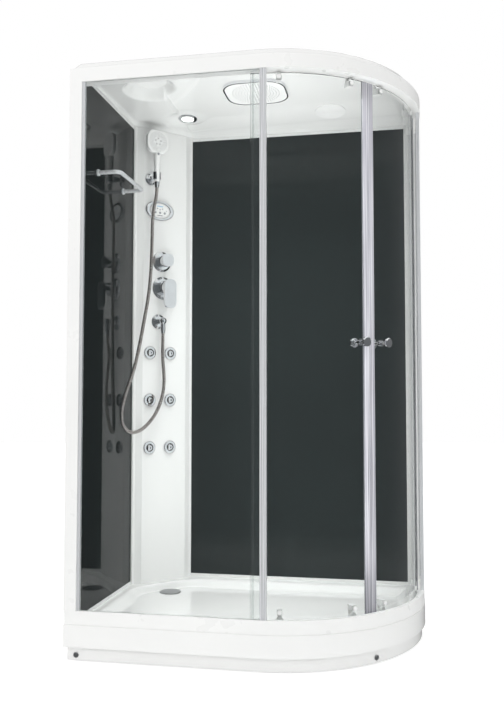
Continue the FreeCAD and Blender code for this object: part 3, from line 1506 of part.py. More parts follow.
# what is screwed to the hollow side of the glass meets it with its edges
inner_seat = door_in - S.running_gap
knob_start = door_in - S.knob_reach
knob_stop = door_out + S.knob_reach
gap_angle = arc_angle(S.door_gap, S.door_radius)
magnet_angle = arc_angle(S.magnet_width, S.door_radius)
glass_set_back = arc_angle(S.edge_strip / 2, S.door_radius)
bulb_angle = arc_angle(S.edge_strip, S.door_radius)
half_magnet = S.magnet_thickness / 2
half_bulb = S.glass_thickness / 2 + 2
lower_axle = lower_shelf_top + S.running_gap + S.wheel_radius
upper_axle = upper_shelf_top + S.running_gap + S.wheel_radius
wheel_start = track_radius - S.wheel_width / 2
wheel_stop = track_radius + S.wheel_width / 2
arm_stop = S.corner_radius - shelf_in - S.arm_clearance
arm_start = arm_stop - S.bracket_arm
lower_rise = S.wheel_radius + S.bracket_arm
upper_rise = S.wheel_radius + S.upper_shelf + S.door_lift + S.bracket_arm


def radial_bore(label, angle, up, radius):
    """A round tool through the door glass at an angle and a height."""
    body = new_body(label)
    low, high = door_in - S.glass_thickness, door_out + S.glass_thickness
    turn(body, [(low, 0), (high, 0), (high, radius), (low, radius)], axis="H_Axis")
    return place_on_arc(body, angle, up)


def bracket(label, angle, axle_up, rise, way):
    """A clip on the door glass with an arm and an axle; way is +1 where it stands above."""
    low, high = rise, rise + S.bracket_height
    tip = S.axle_radius * 2
    if way < 0:
        low, high = -high, -low
    arm_low, arm_high = (-tip, high) if way > 0 else (low, tip)
    half = S.bracket_width / 2
    middle = (low + high) / 2
    body = new_body(label)
    pad(body, [rectangle(arm_start, inner_seat, -half, half)], low, high)
    pad(body, [rectangle(arm_start, arm_stop, -half * 0.6, half * 0.6)], arm_low, arm_high)
    turn(body, [(arm_start, 0), (wheel_stop + 2, 0), (wheel_stop + 2, S.axle_radius),
                (arm_start, S.axle_radius)], axis="H_Axis")
    pad(body, [Circle(0, middle, S.axle_radius)], inner_seat, door_out, plane="side")
    pad(body, [Circle(0, middle, S.axle_radius * 2.5)], door_out, door_out + S.axle_radius,
        plane="side")
    return place_on_arc(body, angle, axle_up), axle_up + middle


def wheel(label, angle, axle_up):
    body = new_body(label)
    bore = S.axle_radius + S.axle_play
    edge = S.wheel_width / 8
    turn(body, [(wheel_start, bore), (wheel_stop, bore), (wheel_stop, S.wheel_radius - edge),
                (wheel_stop - edge, S.wheel_radius), (wheel_start + edge, S.wheel_radius),
                (wheel_start, S.wheel_radius - edge)], axis="H_Axis")
    return place_on_arc(body, angle, axle_up)


def knob_pair(label, angle):
    """The inner and outer knob of a door, with the stem between them."""
    thick = S.knob_reach * 0.3
    edge = S.knob_radius * 0.2
    washer = S.knob_radius * 0.7
    stem = S.knob_stem_radius
    inner = [(knob_start, 0), (knob_start, S.knob_radius - edge),
             (knob_start + edge, S.knob_radius), (knob_start + thick - edge, S.knob_radius),
             (knob_start + thick, S.knob_radius - edge), (knob_start + thick + edge, stem),
             (inner_seat - edge, stem), (inner_seat - edge, washer), (inner_seat, washer),
             (inner_seat, stem)]
    outer = [(door_out, stem), (door_out, washer), (door_out + edge, washer),
             (door_out + edge, stem), (knob_stop - thick - edge, stem),
             (knob_stop - thick, S.knob_radius - edge),
             (knob_stop - thick + edge, S.knob_radius), (knob_stop - edge, S.knob_radius),
             (knob_stop, S.knob_radius - edge), (knob_stop, 0)]
    body = new_body(label)
    turn(body, inner + outer, axis="H_Axis")
    return place_on_arc(body, angle, S.knob_up)


def make_door(side, way, sweep, knob_arc):
    """One curved door; way is -1 for the left door, whose closed edge is further round."""
    edge = S.meet_angle + gap_angle * way
    far_edge = S.meet_angle + sweep * way

    def strip(inner, outer, start, width):
        return sector(inner, outer, *sorted((start, start + width * way), key=lambda a: a.value))

    def span(inner, outer, start, stop):
        return sector(inner, outer, *sorted((start, stop), key=lambda a: a.value))

    glass = new_body(side + "_door_sheet")
    pad(glass, [span(door_in, door_out, edge + glass_set_back * way,
                     far_edge - glass_set_back * way)], door_bottom, door_top)
    place(glass, arc_x, arc_y, 0)
    knob_angle = S.meet_angle + arc_angle(knob_arc, S.door_radius) * way
    bores = [radial_bore(side + "_knob_bore", knob_angle, S.knob_up,
                         S.knob_stem_radius + S.running_gap)]
    brackets = []
    wheels = []
    for place_name, offset in (("near", S.near_roller), ("far", S.far_roller)):
        angle = S.meet_angle + offset * way
        for level, axle_up, rise, stand in (("lower", lower_axle, lower_rise, 1),
                                            ("upper", upper_axle, upper_rise, -1)):
            label = f"{side}_{level}_{place_name}"
            piece, stud_up = bracket(label + "_bracket", angle, axle_up, rise, stand)
            brackets.append(piece)
            bores.append(radial_bore(label + "_bore", angle, stud_up,
                                     S.axle_radius + S.running_gap))
            if level == "lower":
                brackets.append(wheel(label + "_wheel", angle, axle_up))
            else:
                wheels.append(wheel(f"{side}_door_wheel_{place_name}", angle, axle_up))
    node(cut(side + "_door_glass", glass, join(side + "_door_bores", bores)))
    seals = new_body(side + "_door_seals")
    pad(seals, [strip(S.door_radius - half_magnet, S.door_radius + half_magnet, edge,
                      magnet_angle),
                strip(S.door_radius - half_bulb, S.door_radius + half_bulb, far_edge,
                      -bulb_angle)], door_bottom, door_top)
    pocket(seals, [span(door_in, door_out, edge + glass_set_back * way,
                        far_edge - glass_set_back * way)], door_bottom, door_top)
    node(place(seals, arc_x, arc_y, 0))
    node(knob_pair(side + "_door_knobs", knob_angle))
    node(group(side + "_door_brackets", brackets))
    for piece in wheels:
        node(piece)


make_door("left", -1, S.left_door_sweep, S.left_knob_arc)
make_door("right", 1, S.right_door_sweep, S.right_knob_arc)

# ---------------------------------------------------------------- roof

side_draft = -S.roof_slope
cove_low = rail_top_top + S.cove_step
cove_fall = (ceiling - cove_low) / S.cove_depth


def roof_form(label, grow):
    """The space under the ceiling, made larger by grow all round."""
    body = new_body(label + "_space")
    pad(body, [plan(S.roof_inset + S.roof_sheet - grow)], rail_top_top, ceiling + grow,
        slope=side_draft)
    low_x = left + S.scoop_border - grow
    low_y = front + S.scoop_border - grow
    radius = S.scoop_radius + grow
    reach_x = low_x - scoop_centre_x
    reach_y = low_y - scoop_centre_y
    top_y = scoop_centre_y + root(radius * radius - reach_x * reach_x)
    end_x = scoop_centre_x + root(radius * radius - reach_y * reach_y)
    outline = [(low_x, low_y), (end_x, low_y), Bend(scoop_centre_x, scoop_centre_y),
               (low_x, top_y)]
    pad(body, [outline], ceiling - 1, scoop_ceiling + grow, slope=side_draft)
    cove = new_body(label + "_cove")
    cove_front = rear_glass_face - S.cove_depth
    beyond = scoop_ceiling + S.scoop_rise
    wedge = [(cove_front, ceiling + grow), (rear_glass_face, cove_low + grow),
             (rear + 1, cove_low + grow), (rear + 1, beyond), (cove_front, beyond)]
    pad(cove, [wedge], arc_x - S.cabin_width, right + 1, plane="side")
    return cut(label, body, cove)


roof_outside = roof_form("roof_outside", S.roof_sheet)
roof_inside = roof_form("roof_inside", as_size(0))
roof_bare = cut("roof_bare", roof_outside, roof_inside)
lamp_body = S.lamp_radius - S.roof_sheet
fan_body = S.fan_radius - S.roof_sheet * 2
speaker_body = S.speaker_radius - S.roof_sheet * 2
beyond_roof = S.roof_sheet * 6
tilt_play = S.running_gap * 3
roof_holes = [
    rod("lamp_hole", lamp_body + tilt_play, beyond_roof * 2, lamp_x, lamp_y,
        ceiling - beyond_roof),
    rod("fan_hole", fan_body + S.running_gap, beyond_roof, fan_x, fan_y,
        scoop_ceiling - S.roof_sheet),
    rod("rain_hole", S.pipe_radius + S.running_gap, beyond_roof, S.rain_x, S.rain_y,
        ceiling - S.roof_sheet),
    rod("speaker_hole", speaker_body + tilt_play, beyond_roof * 2, speaker_x, speaker_y,
        ceiling - beyond_roof),
    rod("feed_hole", S.pipe_radius + S.running_gap, beyond_roof * 2, feed_x, feed_y,
        ceiling - beyond_roof),
]
node(cut("roof_shell", roof_bare, join("roof_holes", roof_holes)))

# ---------------------------------------------------------------- ceiling fittings

rain_low = ceiling - S.rain_drop
rim_gap = S.rain_rim + S.running_gap


def place_on_cove(item, x, y):
    """Hangs the item under the sloping rear part of the ceiling, tilted with it."""
    up = cove_low + (rear_glass_face - y) * cove_fall
    cove_angle = math.degrees(math.atan(cove_fall.value))
    return place(item, x, y, up, Rotation(Vector(1, 0, 0), -cove_angle))


def rain_outline(inset):
    return rounded_rectangle(S.rain_x, S.rain_y, S.rain_width - inset * 2,
                             S.rain_depth - inset * 2, S.rain_corner - inset)


rain_rim = new_body("rain_head_rim")
pad(rain_rim, [rain_outline(as_size(0)), rain_outline(S.rain_rim)], rain_low, ceiling)
node(rain_rim)
rain_plate = new_body("rain_head_plate")
pad(rain_plate, [rain_outline(rim_gap)], rain_low + 1, ceiling)
pad(rain_plate, [Circle(S.rain_x, S.rain_y, S.pipe_radius)], ceiling,
    ceiling + S.rain_pipe_rise)
node(rain_plate)

lamp = new_body("lamp_bezel")
lens_edge = S.lamp_lens_radius + S.running_gap
lens_ledge = S.lamp_lens_radius - S.grille_height / 2
turn(lamp, [
    (lens_ledge, -S.grille_height - 1), (S.lamp_radius - 2, -S.grille_height - 1),
    (S.lamp_radius, -S.grille_height + 1), (S.lamp_radius, 0), (lamp_body, 0),
    (lamp_body, S.lamp_depth), (0, S.lamp_depth), (0, S.lamp_depth - 3),
    (lamp_body - 2, S.lamp_depth - 3), (lamp_body - 2, 1), (lens_edge, 1),
    (lens_edge, -S.grille_height), (lens_ledge, -S.grille_height),
])
node(place_on_cove(lamp, lamp_x, lamp_y))
lens = new_body("lamp_lens")
pad(lens, [Circle(0, 0, S.lamp_lens_radius)], -S.grille_height, 2)
node(place_on_cove(lens, lamp_x, lamp_y))


def slot_rings(radius, hub, width):
    """Ring slots between the hub and the grille's edge, each left as an open circle pair."""
    rings = []
    inner = hub
    while (inner + width * 2).value < radius.value:
        rings.append((inner, inner + width))
        inner = inner + width * 2
    return rings


def grille(body, radius, inner_edge):
    """A round plate below the ceiling with ring grooves, and spokes left at its back."""
    height = S.grille_height
    pad(body, [Circle(0, 0, radius)], -height, 0)
    for low, high in slot_rings(inner_edge, S.grille_slot * 2, S.grille_slot):
        pocket(body, [Circle(0, 0, high), Circle(0, 0, low)], -height, -height * 0.4)


speaker = new_body("speaker")
grille(speaker, S.speaker_radius, speaker_body)
pad(speaker, [Circle(0, 0, speaker_body)], 0, S.speaker_depth)
node(place_on_cove(speaker, speaker_x, speaker_y))

fan_wall = 2
fan_roof = S.fan_height - fan_wall
fan = new_body("fan_housing")
turn(fan, [(S.fan_hub, -S.grille_height), (S.fan_radius, -S.grille_height), (S.fan_radius, 0),
           (fan_body, 0), (fan_body, S.fan_height), (0, S.fan_height), (0, fan_roof / 2),
           (S.fan_hub / 2, fan_roof / 2), (S.fan_hub / 2, fan_roof),
           (fan_body - fan_wall, fan_roof), (fan_body - fan_wall, S.grille_height),
           (S.fan_hub, S.grille_height)])
fan_grooves = slot_rings(fan_body - fan_wall, S.fan_hub + S.grille_slot, S.grille_slot)
for low, high in fan_grooves:
    pocket(fan, [Circle(0, 0, high), Circle(0, 0, low)], -S.grille_height, 0)
shaft_top = fan_roof / 2
pad(fan, [Circle(0, 0, S.axle_radius)], shaft_top / 3, shaft_top)
node(place(fan, fan_x, fan_y, scoop_ceiling))

impeller = new_body("fan_impeller")
impeller_low = shaft_top / 3
impeller_high = shaft_top - S.running_gap * 2
impeller_bore = S.axle_radius + S.axle_play
pad(impeller, [Circle(0, 0, S.fan_hub), Circle(0, 0, impeller_bore)],
    impeller_low, impeller_high)
blade = pad(impeller, [rectangle(S.fan_hub - 1, S.fan_blade, as_size(-1), as_size(1))],
            impeller_low, impeller_high)
doc.recompute()
blades = impeller.newObject("PartDesign::PolarPattern", "blades")
blades.Originals = [blade]
z_axis = [part for part in impeller.Origin.OriginFeatures if part.Role == "Z_Axis"][0]
blades.Axis = (z_axis, [""])
blades.Angle = 360
blades.Occurrences = int(S.fan_blades.value)
blades.setExpression("Occurrences", S.fan_blades.formula)
impeller.Tip = blades
node(place(impeller, fan_x, fan_y, scoop_ceiling))

# ---------------------------------------------------------------- finish

doc.recompute()
for item in doc.Objects:
    bad = [word for word in item.State if word in ("Invalid", "Error")]
    if bad:
        raise RuntimeError(f"{item.Label} is left {bad}")
    if item.TypeId == "PartDesign::Pocket":
        removed = item.BaseFeature.Shape.Volume - item.Shape.Volume
        if removed < 1:
            raise RuntimeError(f"{item.Label} cuts nothing")
for piece in NODES:
    if piece.Shape.isNull() or not piece.Shape.isValid():
        raise RuntimeError(f"{piece.Label} has no sound shape")
for piece in NODES:
    piece.Shape.exportStep(f"parts/{piece.Label}.step")
print(len(NODES), "pieces")
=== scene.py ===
import json
import math

import bmesh
import bpy
import numpy as np
from mathutils import Matrix, Vector


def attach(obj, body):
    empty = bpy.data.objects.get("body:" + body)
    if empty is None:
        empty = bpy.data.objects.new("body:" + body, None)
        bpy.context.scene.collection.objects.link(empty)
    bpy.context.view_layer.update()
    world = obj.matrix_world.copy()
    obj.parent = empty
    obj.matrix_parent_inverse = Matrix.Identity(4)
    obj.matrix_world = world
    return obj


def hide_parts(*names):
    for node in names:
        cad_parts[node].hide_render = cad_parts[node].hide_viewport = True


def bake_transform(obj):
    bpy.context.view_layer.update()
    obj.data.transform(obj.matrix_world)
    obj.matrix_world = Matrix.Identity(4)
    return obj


# A shower cabin: tray, plinth, corner column with its fittings, roof and two curved doors.
# Objects, lights and materials are in metres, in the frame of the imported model. The cabin's own
# sizes and places are in millimetres, unless a comment says metres.

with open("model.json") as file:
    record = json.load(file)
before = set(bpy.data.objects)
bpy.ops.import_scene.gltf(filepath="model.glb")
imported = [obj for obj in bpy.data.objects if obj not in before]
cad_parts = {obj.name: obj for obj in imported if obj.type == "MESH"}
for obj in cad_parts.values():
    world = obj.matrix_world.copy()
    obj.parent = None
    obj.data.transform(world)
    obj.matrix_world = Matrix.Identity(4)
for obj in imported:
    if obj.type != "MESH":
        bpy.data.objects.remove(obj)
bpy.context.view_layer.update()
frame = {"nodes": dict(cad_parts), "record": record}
nodes = frame["nodes"]

# the corner column: its left end on the glass, and how far its flat face stands out from there
DIAGONAL = math.sqrt(0.5)
COLUMN_START = Vector((-572.0, 191.0, 0.0))
FRAME_PROUD, COLUMN_BULGE = 2, 14
COLUMN_FACE = FRAME_PROUD / DIAGONAL + COLUMN_BULGE

# the cabin's outline and levels
CABIN_LEFT, CABIN_RIGHT, CABIN_FRONT, CABIN_REAR = -600.0, 600.0, -400.0, 400.0
CORNER_X, CORNER_Y, CORNER_RADIUS = 50.0, 150.0, 550.0
TRAY_RIM = 121.0
BASIN_FLOOR = 95.0
ROOF_FOOT = 2018.0
CEILING = 2040.0
SCOOP_CEILING = 2070.0

# ---------------------------------------------------------------- camera

# the place in metres; degrees that it looks up, rolls and looks left; the lens in millimetres
CAMERA_SPOT = (0.51133, -2.90498, 0.86629)
CAMERA_UP, CAMERA_ROLL, CAMERA_LEFT = 3.008, -0.025, 10.599
FOCAL_LENGTH, SENSOR_WIDTH = 39.235, 36

camera = bpy.data.objects.new("camera", bpy.data.cameras.new("camera"))
bpy.context.scene.collection.objects.link(camera)
camera.location = CAMERA_SPOT
camera.rotation_euler = [math.radians(turn) for turn in (90 + CAMERA_UP, CAMERA_ROLL,
                                                         CAMERA_LEFT)]
camera.data.lens = FOCAL_LENGTH
camera.data.sensor_width = SENSOR_WIDTH
camera.data.clip_start = 0.05
bpy.context.scene.camera = camera

# ---------------------------------------------------------------- helpers


def on_column(across, out, up):
    """A point from the column's own directions: across it, out of the wall and up."""
    x = COLUMN_START.x + (across + out) * DIAGONAL
    y = COLUMN_START.y + (across - out) * DIAGONAL
    return Vector((x, y, up)) / 1000


def column_place(across, up, out):
    """The matrix of a fitting drawn in millimetres: its x across, its y up, its z out."""
    turn = Matrix(((DIAGONAL, 0, DIAGONAL), (DIAGONAL, 0, -DIAGONAL), (0, 1, 0))).to_4x4()
    return Matrix.Translation(on_column(across, out, up)) @ turn @ Matrix.Scale(0.001, 4)


def mesh_object(name, mesh, finish, body="cabin", smooth=True):
    """Puts a mesh in the scene, riding on a body."""
    piece = bpy.data.objects.new(name, mesh)
    bpy.context.scene.collection.objects.link(piece)
    mesh.materials.append(finish)
    for face in mesh.polygons:
        face.use_smooth = smooth
    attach(piece, body)
    return piece


def rings_mesh(name, rings):
    """A closed skin through rings of equally many points."""
    mesh = bpy.data.meshes.new(name)
    count = len(rings[0])
    points = [tuple(point) for ring in rings for point in ring]
    faces = []
    for row in range(len(rings) - 1):
        for spot in range(count):
            after = (spot + 1) % count
            faces.append((row * count + spot, row * count + after,
                          (row + 1) * count + after, (row + 1) * count + spot))
    faces.append(tuple(reversed(range(count))))
    faces.append(tuple(range((len(rings) - 1) * count, len(rings) * count)))
    mesh.from_pydata(points, [], faces)
    mesh.update()
    return mesh


def eased(value):
    """From 0 to 1, level at both ends."""
    value = np.clip(value, 0.0, 1.0)
    return value * value * (3 - 2 * value)


def lesser(first, second, soft):
    """The smaller of two heights, with the corner between them rounded."""
    mix = np.clip(0.5 + 0.5 * (second - first) / soft, 0, 1)
    return second * (1 - mix) + first * mix - soft * mix * (1 - mix)


def insets(x, y):
    """How far a place lies inside the left side, the rear and the open, rounded side."""
    from_corner = CORNER_RADIUS - np.hypot(x - CORNER_X, y - CORNER_Y)
    straight = np.minimum(y - CABIN_FRONT, CABIN_RIGHT - x)
    open_side = np.where((x > CORNER_X) & (y < CORNER_Y), from_corner, straight)
    return x - CABIN_LEFT, CABIN_REAR - y, open_side


# the size of a cell on the straight sides, and the number of places round the corner
GRID_STEP = 5.0
CORNER_STEPS = 176


def plan_grid(left, rear, open_side):
    """Places all over the cabin's plan, drawn in by three insets.

    Each row runs from the open side to the rear; the rows go from left to right, and by equal
    angles round the corner.
    """
    first, back, radius = CABIN_LEFT + left, CABIN_REAR - rear, CORNER_RADIUS - open_side
    straight = np.linspace(first, CORNER_X, int((CORNER_X - first) / GRID_STEP))
    turns = np.linspace(0, math.pi / 2, CORNER_STEPS)[1:]
    across = np.concatenate((straight, CORNER_X + radius * np.sin(turns)))
    fore = np.concatenate((np.full(len(straight), CABIN_FRONT + open_side),
                           CORNER_Y - radius * np.cos(turns)))
    share = np.linspace(0, 1, int((CABIN_REAR - CABIN_FRONT) / GRID_STEP))
    x = np.repeat(across[:, None], len(share), axis=1)
    y = fore[:, None] + (back - fore)[:, None] * share[None, :]
    return x, y


def grid_faces(rows, columns, first=0, turned_over=False, keep=None):
    """Quads of a grid of points, numbered from first; keep picks the cells that get one."""
    faces = []
    for row in range(rows - 1):
        for column in range(columns - 1):
            if keep is not None and not keep[row, column]:
                continue
            corner = first + row * columns + column
            face = (corner, corner + columns, corner + columns + 1, corner + 1)
            faces.append(face[::-1] if turned_over else face)
    return faces


def grid_rim(rows, columns):
    """The numbers of a grid's outer points, in order round its edge."""
    rim = [(row, 0) for row in range(rows)]
    rim += [(rows - 1, column) for column in range(1, columns)]
    rim += [(row, columns - 1) for row in range(rows - 2, -1, -1)]
    rim += [(0, column) for column in range(columns - 2, 0, -1)]
    return [row * columns + column for row, column in rim]


def ring_of(radius, count, centre=(0, 0)):
    """Places evenly round a circle, the first one at the top."""
    angles = [2 * math.pi * step / count for step in range(count)]
    return [(centre[0] + radius * math.sin(a), centre[1] + radius * math.cos(a)) for a in angles]


def disc(centre, radius, sides=10):
    """The outline of a circle."""
    return ring_of(radius, sides, centre)[::-1]


def oval(half_width, half_height):
    """The outline of an ellipse."""
    return [(x * half_width, y * half_height) for x, y in disc((0, 0), 1, sides=72)]


def bar(centre, width, height):
    """The outline of an upright rectangle."""
    x, y = centre
    return [(x - width / 2, y - height / 2), (x + width / 2, y - height / 2),
            (x + width / 2, y + height / 2), (x - width / 2, y + height / 2)]


# low forms start this far below the face that they stand on
SUNK = 0.5


def raised(name, outlines, height, place, finish, body="cabin"):
    """Low forms on a face: each outline, in the fitting's millimetres, stands out that far."""
    points, faces = [], []
    for outline in outlines:
        first, count = len(points), len(outline)
        points += [(x, y, level) for level in (-SUNK, height) for x, y in outline]
        faces.append(tuple(range(first + count, first + 2 * count)))
        for spot in range(count):
            after = (spot + 1) % count
            faces.append((first + spot, first + after, first + count + after,
                          first + count + spot))
    mesh = bpy.data.meshes.new(name)
    mesh.from_pydata(points, [], faces)
    mesh.transform(place)
    mesh.update()
    mesh_object(name, mesh, finish, body=body, smooth=False)


def turned(profile, sides=64):
    """Rings of a turned form: pairs of radius and height along z."""
    angles = [2 * math.pi * side / sides for side in range(sides)]
    return [[(radius * math.cos(angle), radius * math.sin(angle), height) for angle in angles]
            for radius, height in profile]


# ---------------------------------------------------------------- materials


# most of a noise pattern's values lie between these two
NOISE_LOW, NOISE_HIGH = 0.3, 0.7


class Finish:
    """A procedural material round one Principled shader."""

    def __init__(self, name, colour, **plain):
        self.material = bpy.data.materials.new(name)
        self.material.use_nodes = True
        self.tree = self.material.node_tree
        self.shader = self.tree.nodes["Principled BSDF"]
        self.shader.inputs["Base Color"].default_value = (*colour, 1)
        for socket, value in plain.items():
            self.shader.inputs[socket.replace("_", " ")].default_value = value
        self.place = self.node("ShaderNodeTexCoord").outputs["Object"]
        self.normal = None

    def node(self, kind, **inputs):
        """A new shader node with these values on its sockets."""
        made = self.tree.nodes.new(kind)
        for socket, value in inputs.items():
            made.inputs[socket.replace("_", " ")].default_value = value
        return made

    def link(self, source, target):
        self.tree.links.new(source, target)

    def stretched(self, stretch):
        """The object's own places, scaled by axis."""
        mapping = self.node("ShaderNodeMapping", Scale=stretch)
        self.link(self.place, mapping.inputs["Vector"])
        return mapping.outputs["Vector"]

    def noise(self, scale, detail=2.0, stretch=(1, 1, 1)):
        """A soft random pattern, finer with a larger scale."""
        made = self.node("ShaderNodeTexNoise", Scale=scale, Detail=detail)
        self.link(self.stretched(stretch), made.inputs["Vector"])
        return made.outputs["Fac"]

    def cells(self, scale, stretch=(1, 1, 1)):
        """A pattern of small cells."""
        made = self.node("ShaderNodeTexVoronoi", Scale=scale)
        self.link(self.stretched(stretch), made.inputs["Vector"])
        return made.outputs["Distance"]

    def spread(self, source, low, high, start=NOISE_LOW, stop=NOISE_HIGH):
        """Maps a pattern's range from start to stop onto low to high."""
        made = self.node("ShaderNodeMapRange", From_Min=start, From_Max=stop, To_Min=low,
                         To_Max=high)
        self.link(source, made.inputs["Value"])
        return made.outputs["Result"]

    def tint(self, source, first, second):
        """Base colour that drifts between two tones."""
        ramp = self.node("ShaderNodeValToRGB")
        ramp.color_ramp.elements[0].position = NOISE_LOW
        ramp.color_ramp.elements[0].color = (*first, 1)
        ramp.color_ramp.elements[1].position = NOISE_HIGH
        ramp.color_ramp.elements[1].color = (*second, 1)
        self.link(source, ramp.inputs["Fac"])
        self.link(ramp.outputs["Color"], self.shader.inputs["Base Color"])
        return self

    def blend_across(self, border, colour):
        """Gives all that lies left of the border another base colour; returns the border's mask."""
        split = self.node("ShaderNodeSeparateXYZ")
        self.link(self.place, split.inputs["Vector"])
        mask = self.spread(split.outputs["X"], 0.0, 1.0, border, border + 0.01)
        blend = self.node("ShaderNodeMix")
        blend.data_type = "RGBA"
        blend.inputs["A"].default_value = (*colour, 1)
        self.link(mask, blend.inputs["Factor"])
        self.link(self.shader.inputs["Base Color"].links[0].from_socket, blend.inputs["B"])
        self.link(blend.outputs["Result"], self.shader.inputs["Base Color"])
        return mask

    def polish(self, source, low, high):
        """Roughness that drifts between two values."""
        self.link(self.spread(source, low, high), self.shader.inputs["Roughness"])
        return self

    def relief(self, source, depth):
        """Adds a bump of that depth in metres."""
        bump = self.node("ShaderNodeBump", Strength=1.0, Distance=depth)
        self.link(source, bump.inputs["Height"])
        if self.normal:
            self.link(self.normal, bump.inputs["Normal"])
        self.normal = bump.outputs["Normal"]
        self.link(self.normal, self.shader.inputs["Normal"])
        return self

    def clear_to_lamps(self, tint):
        """Lets the lamps' light through, so that what stands behind the glass is lit."""
        path = self.node("ShaderNodeLightPath")
        window = self.node("ShaderNodeBsdfTransparent", Color=(*tint, 1))
        mix = self.node("ShaderNodeMixShader")
        out = self.tree.nodes["Material Output"]
        self.link(path.outputs["Is Shadow Ray"], mix.inputs["Fac"])
        self.link(self.shader.outputs["BSDF"], mix.inputs[1])
        self.link(window.outputs["BSDF"], mix.inputs[2])
        self.link(mix.outputs["Shader"], out.inputs["Surface"])
        return self


def acrylic(name, first, second, wave):
    """Vacuum-formed sheet: high gloss over long, shallow waves."""
    made = Finish(name, first, IOR=1.49, Coat_Weight=0.35, Coat_Roughness=0.04)
    made.tint(made.noise(2.2, 3), first, second)
    made.polish(made.noise(9, 4), 0.10, 0.19)
    made.relief(made.noise(5.5, 1), wave)
    made.relief(made.noise(420, 2), 0.00002)
    return made.material


def coated_metal(name, first, second):
    """Powder-coated sheet: satin, with a fine orange-peel grain."""
    made = Finish(name, first, IOR=1.5)
    made.tint(made.noise(3, 3), first, second)
    made.polish(made.noise(14, 3), 0.26, 0.38)
    made.relief(made.noise(650, 2), 0.00004)
    return made.material


def bright_metal(name, first, second, low, high):
    """Polished plating with faint wiping marks."""
    made = Finish(name, first, Metallic=1.0)
    made.tint(made.noise(30, 3), first, second)
    made.polish(made.noise(70, 5), low, high)
    made.relief(made.noise(900, 2, (1, 1, 0.2)), 0.000006)
    return made.material


def drawn_metal(name, first, second, stretch, low, high, metallic=1.0):
    """Metal with fine lines along its length."""
    made = Finish(name, first, Metallic=metallic)
    made.tint(made.noise(500, 3, stretch), first, second)
    made.polish(made.noise(700, 3, stretch), low, high)
    made.relief(made.noise(900, 2, stretch), 0.00003)
    return made.material


def moulded(name, first, second, low, high):
    """Injection-moulded plastic with a slight grain."""
    made = Finish(name, first, IOR=1.46)
    made.tint(made.noise(11, 3), first, second)
    made.polish(made.noise(35, 4), low, high)
    made.relief(made.noise(500, 2), 0.00003)
    return made.material


# metres along x: left of the first the black glass gets painted shade, left of the second seals are
# clear
SHADED_GLASS_BORDER = -0.56
CLEAR_SEAL_BORDER = 0.2


def black_glass_finish():
    """Glass with a black coat behind it and faint wiping marks; painted shade makes it darkest on
    the left wall.
    """
    made = Finish("black_glass", (0.018, 0.023, 0.023), IOR=1.32)
    made.tint(made.noise(1.6, 2), (0.0145, 0.019, 0.019), (0.0175, 0.023, 0.023))
    # painted shade: the same glass gets a darker base colour left of the border, on the left wall
    made.blend_across(SHADED_GLASS_BORDER, (0.004, 0.006, 0.006))
    made.polish(made.noise(6, 5, (1, 1, 0.35)), 0.02, 0.06)
    made.relief(made.noise(1.3, 1), 0.0004)
    return made.material


def clear_glass_finish():
    """Tempered glass: clear, with the faintest waves."""
    made = Finish("clear_glass", (0.965, 0.985, 0.98), IOR=1.45, Transmission_Weight=1.0)
    made.polish(made.noise(8, 4, (1, 1, 0.4)), 0.0, 0.012)
    made.clear_to_lamps((0.95, 0.97, 0.965))
    return made.material


def seal_finish():
    """Soft plastic of the door seals: clear at the left door's far end, milky elsewhere."""
    made = Finish("clear_seal", (0.83, 0.85, 0.87), IOR=1.42)
    made.tint(made.noise(240, 1, (1, 1, 0.01)), (0.26, 0.26, 0.29), (0.66, 0.66, 0.70))
    across = made.blend_across(CLEAR_SEAL_BORDER, (0.97, 0.985, 0.98))
    made.link(made.spread(across, 1.0, 0.3, 0, 1), made.shader.inputs["Transmission Weight"])
    made.link(made.spread(across, 0.0, 0.22, 0, 1), made.shader.inputs["Roughness"])
    made.relief(made.noise(420, 1, (1, 1, 0.01)), 0.0003)
    made.clear_to_lamps((0.9, 0.92, 0.93))
    return made.material


def lens_finish():
    """Frosted lens, lit from behind."""
    made = Finish("lens", (1.0, 0.98, 0.95), IOR=1.45, Emission_Strength=1.2,
                  Emission_Color=(1.0, 0.99, 0.96, 1))
    made.polish(made.noise(60, 2), 0.3, 0.45)
    made.relief(made.cells(260), 0.0002)
    return made.material


WHITE = (0.80, 0.80, 0.79)
WHITE_LOW = (0.775, 0.778, 0.77)
finishes = {
    "white_acrylic": acrylic("white_acrylic", WHITE, WHITE_LOW, 0.0002),
    "white_metal": coated_metal("white_metal", WHITE, WHITE_LOW),
    "white_plastic": moulded("white_plastic", (0.82, 0.82, 0.81), (0.79, 0.79, 0.785), 0.14, 0.24),
    "soft_grey": moulded("soft_grey", (0.09, 0.095, 0.10), (0.06, 0.065, 0.07), 0.3, 0.45),
    "pale_blue": moulded("pale_blue", (0.36, 0.56, 0.74), (0.30, 0.50, 0.68), 0.2, 0.3),
    "grey_plastic": moulded("grey_plastic", (0.30, 0.31, 0.33), (0.24, 0.25, 0.27), 0.3, 0.45),
    "dark_plastic": moulded("dark_plastic", (0.03, 0.03, 0.032), (0.018, 0.018, 0.02), 0.4, 0.6),
    "chrome": bright_metal("chrome", (0.86, 0.87, 0.89), (0.80, 0.81, 0.83), 0.03, 0.09),
    "aluminium": drawn_metal("aluminium", (0.80, 0.81, 0.83), (0.70, 0.71, 0.73),
                             (1, 1, 0.004), 0.22, 0.36, metallic=0.4),
    "steel": drawn_metal("steel", (0.56, 0.57, 0.58), (0.44, 0.45, 0.46), (1, 1, 0.1), 0.3, 0.5),
    "brass": drawn_metal("brass", (0.74, 0.56, 0.28), (0.60, 0.43, 0.20), (1, 1, 0.2), 0.25, 0.45),
    "black_glass": black_glass_finish(),
    "clear_glass": clear_glass_finish(),
    "clear_seal": seal_finish(),
    "lens": lens_finish(),
}
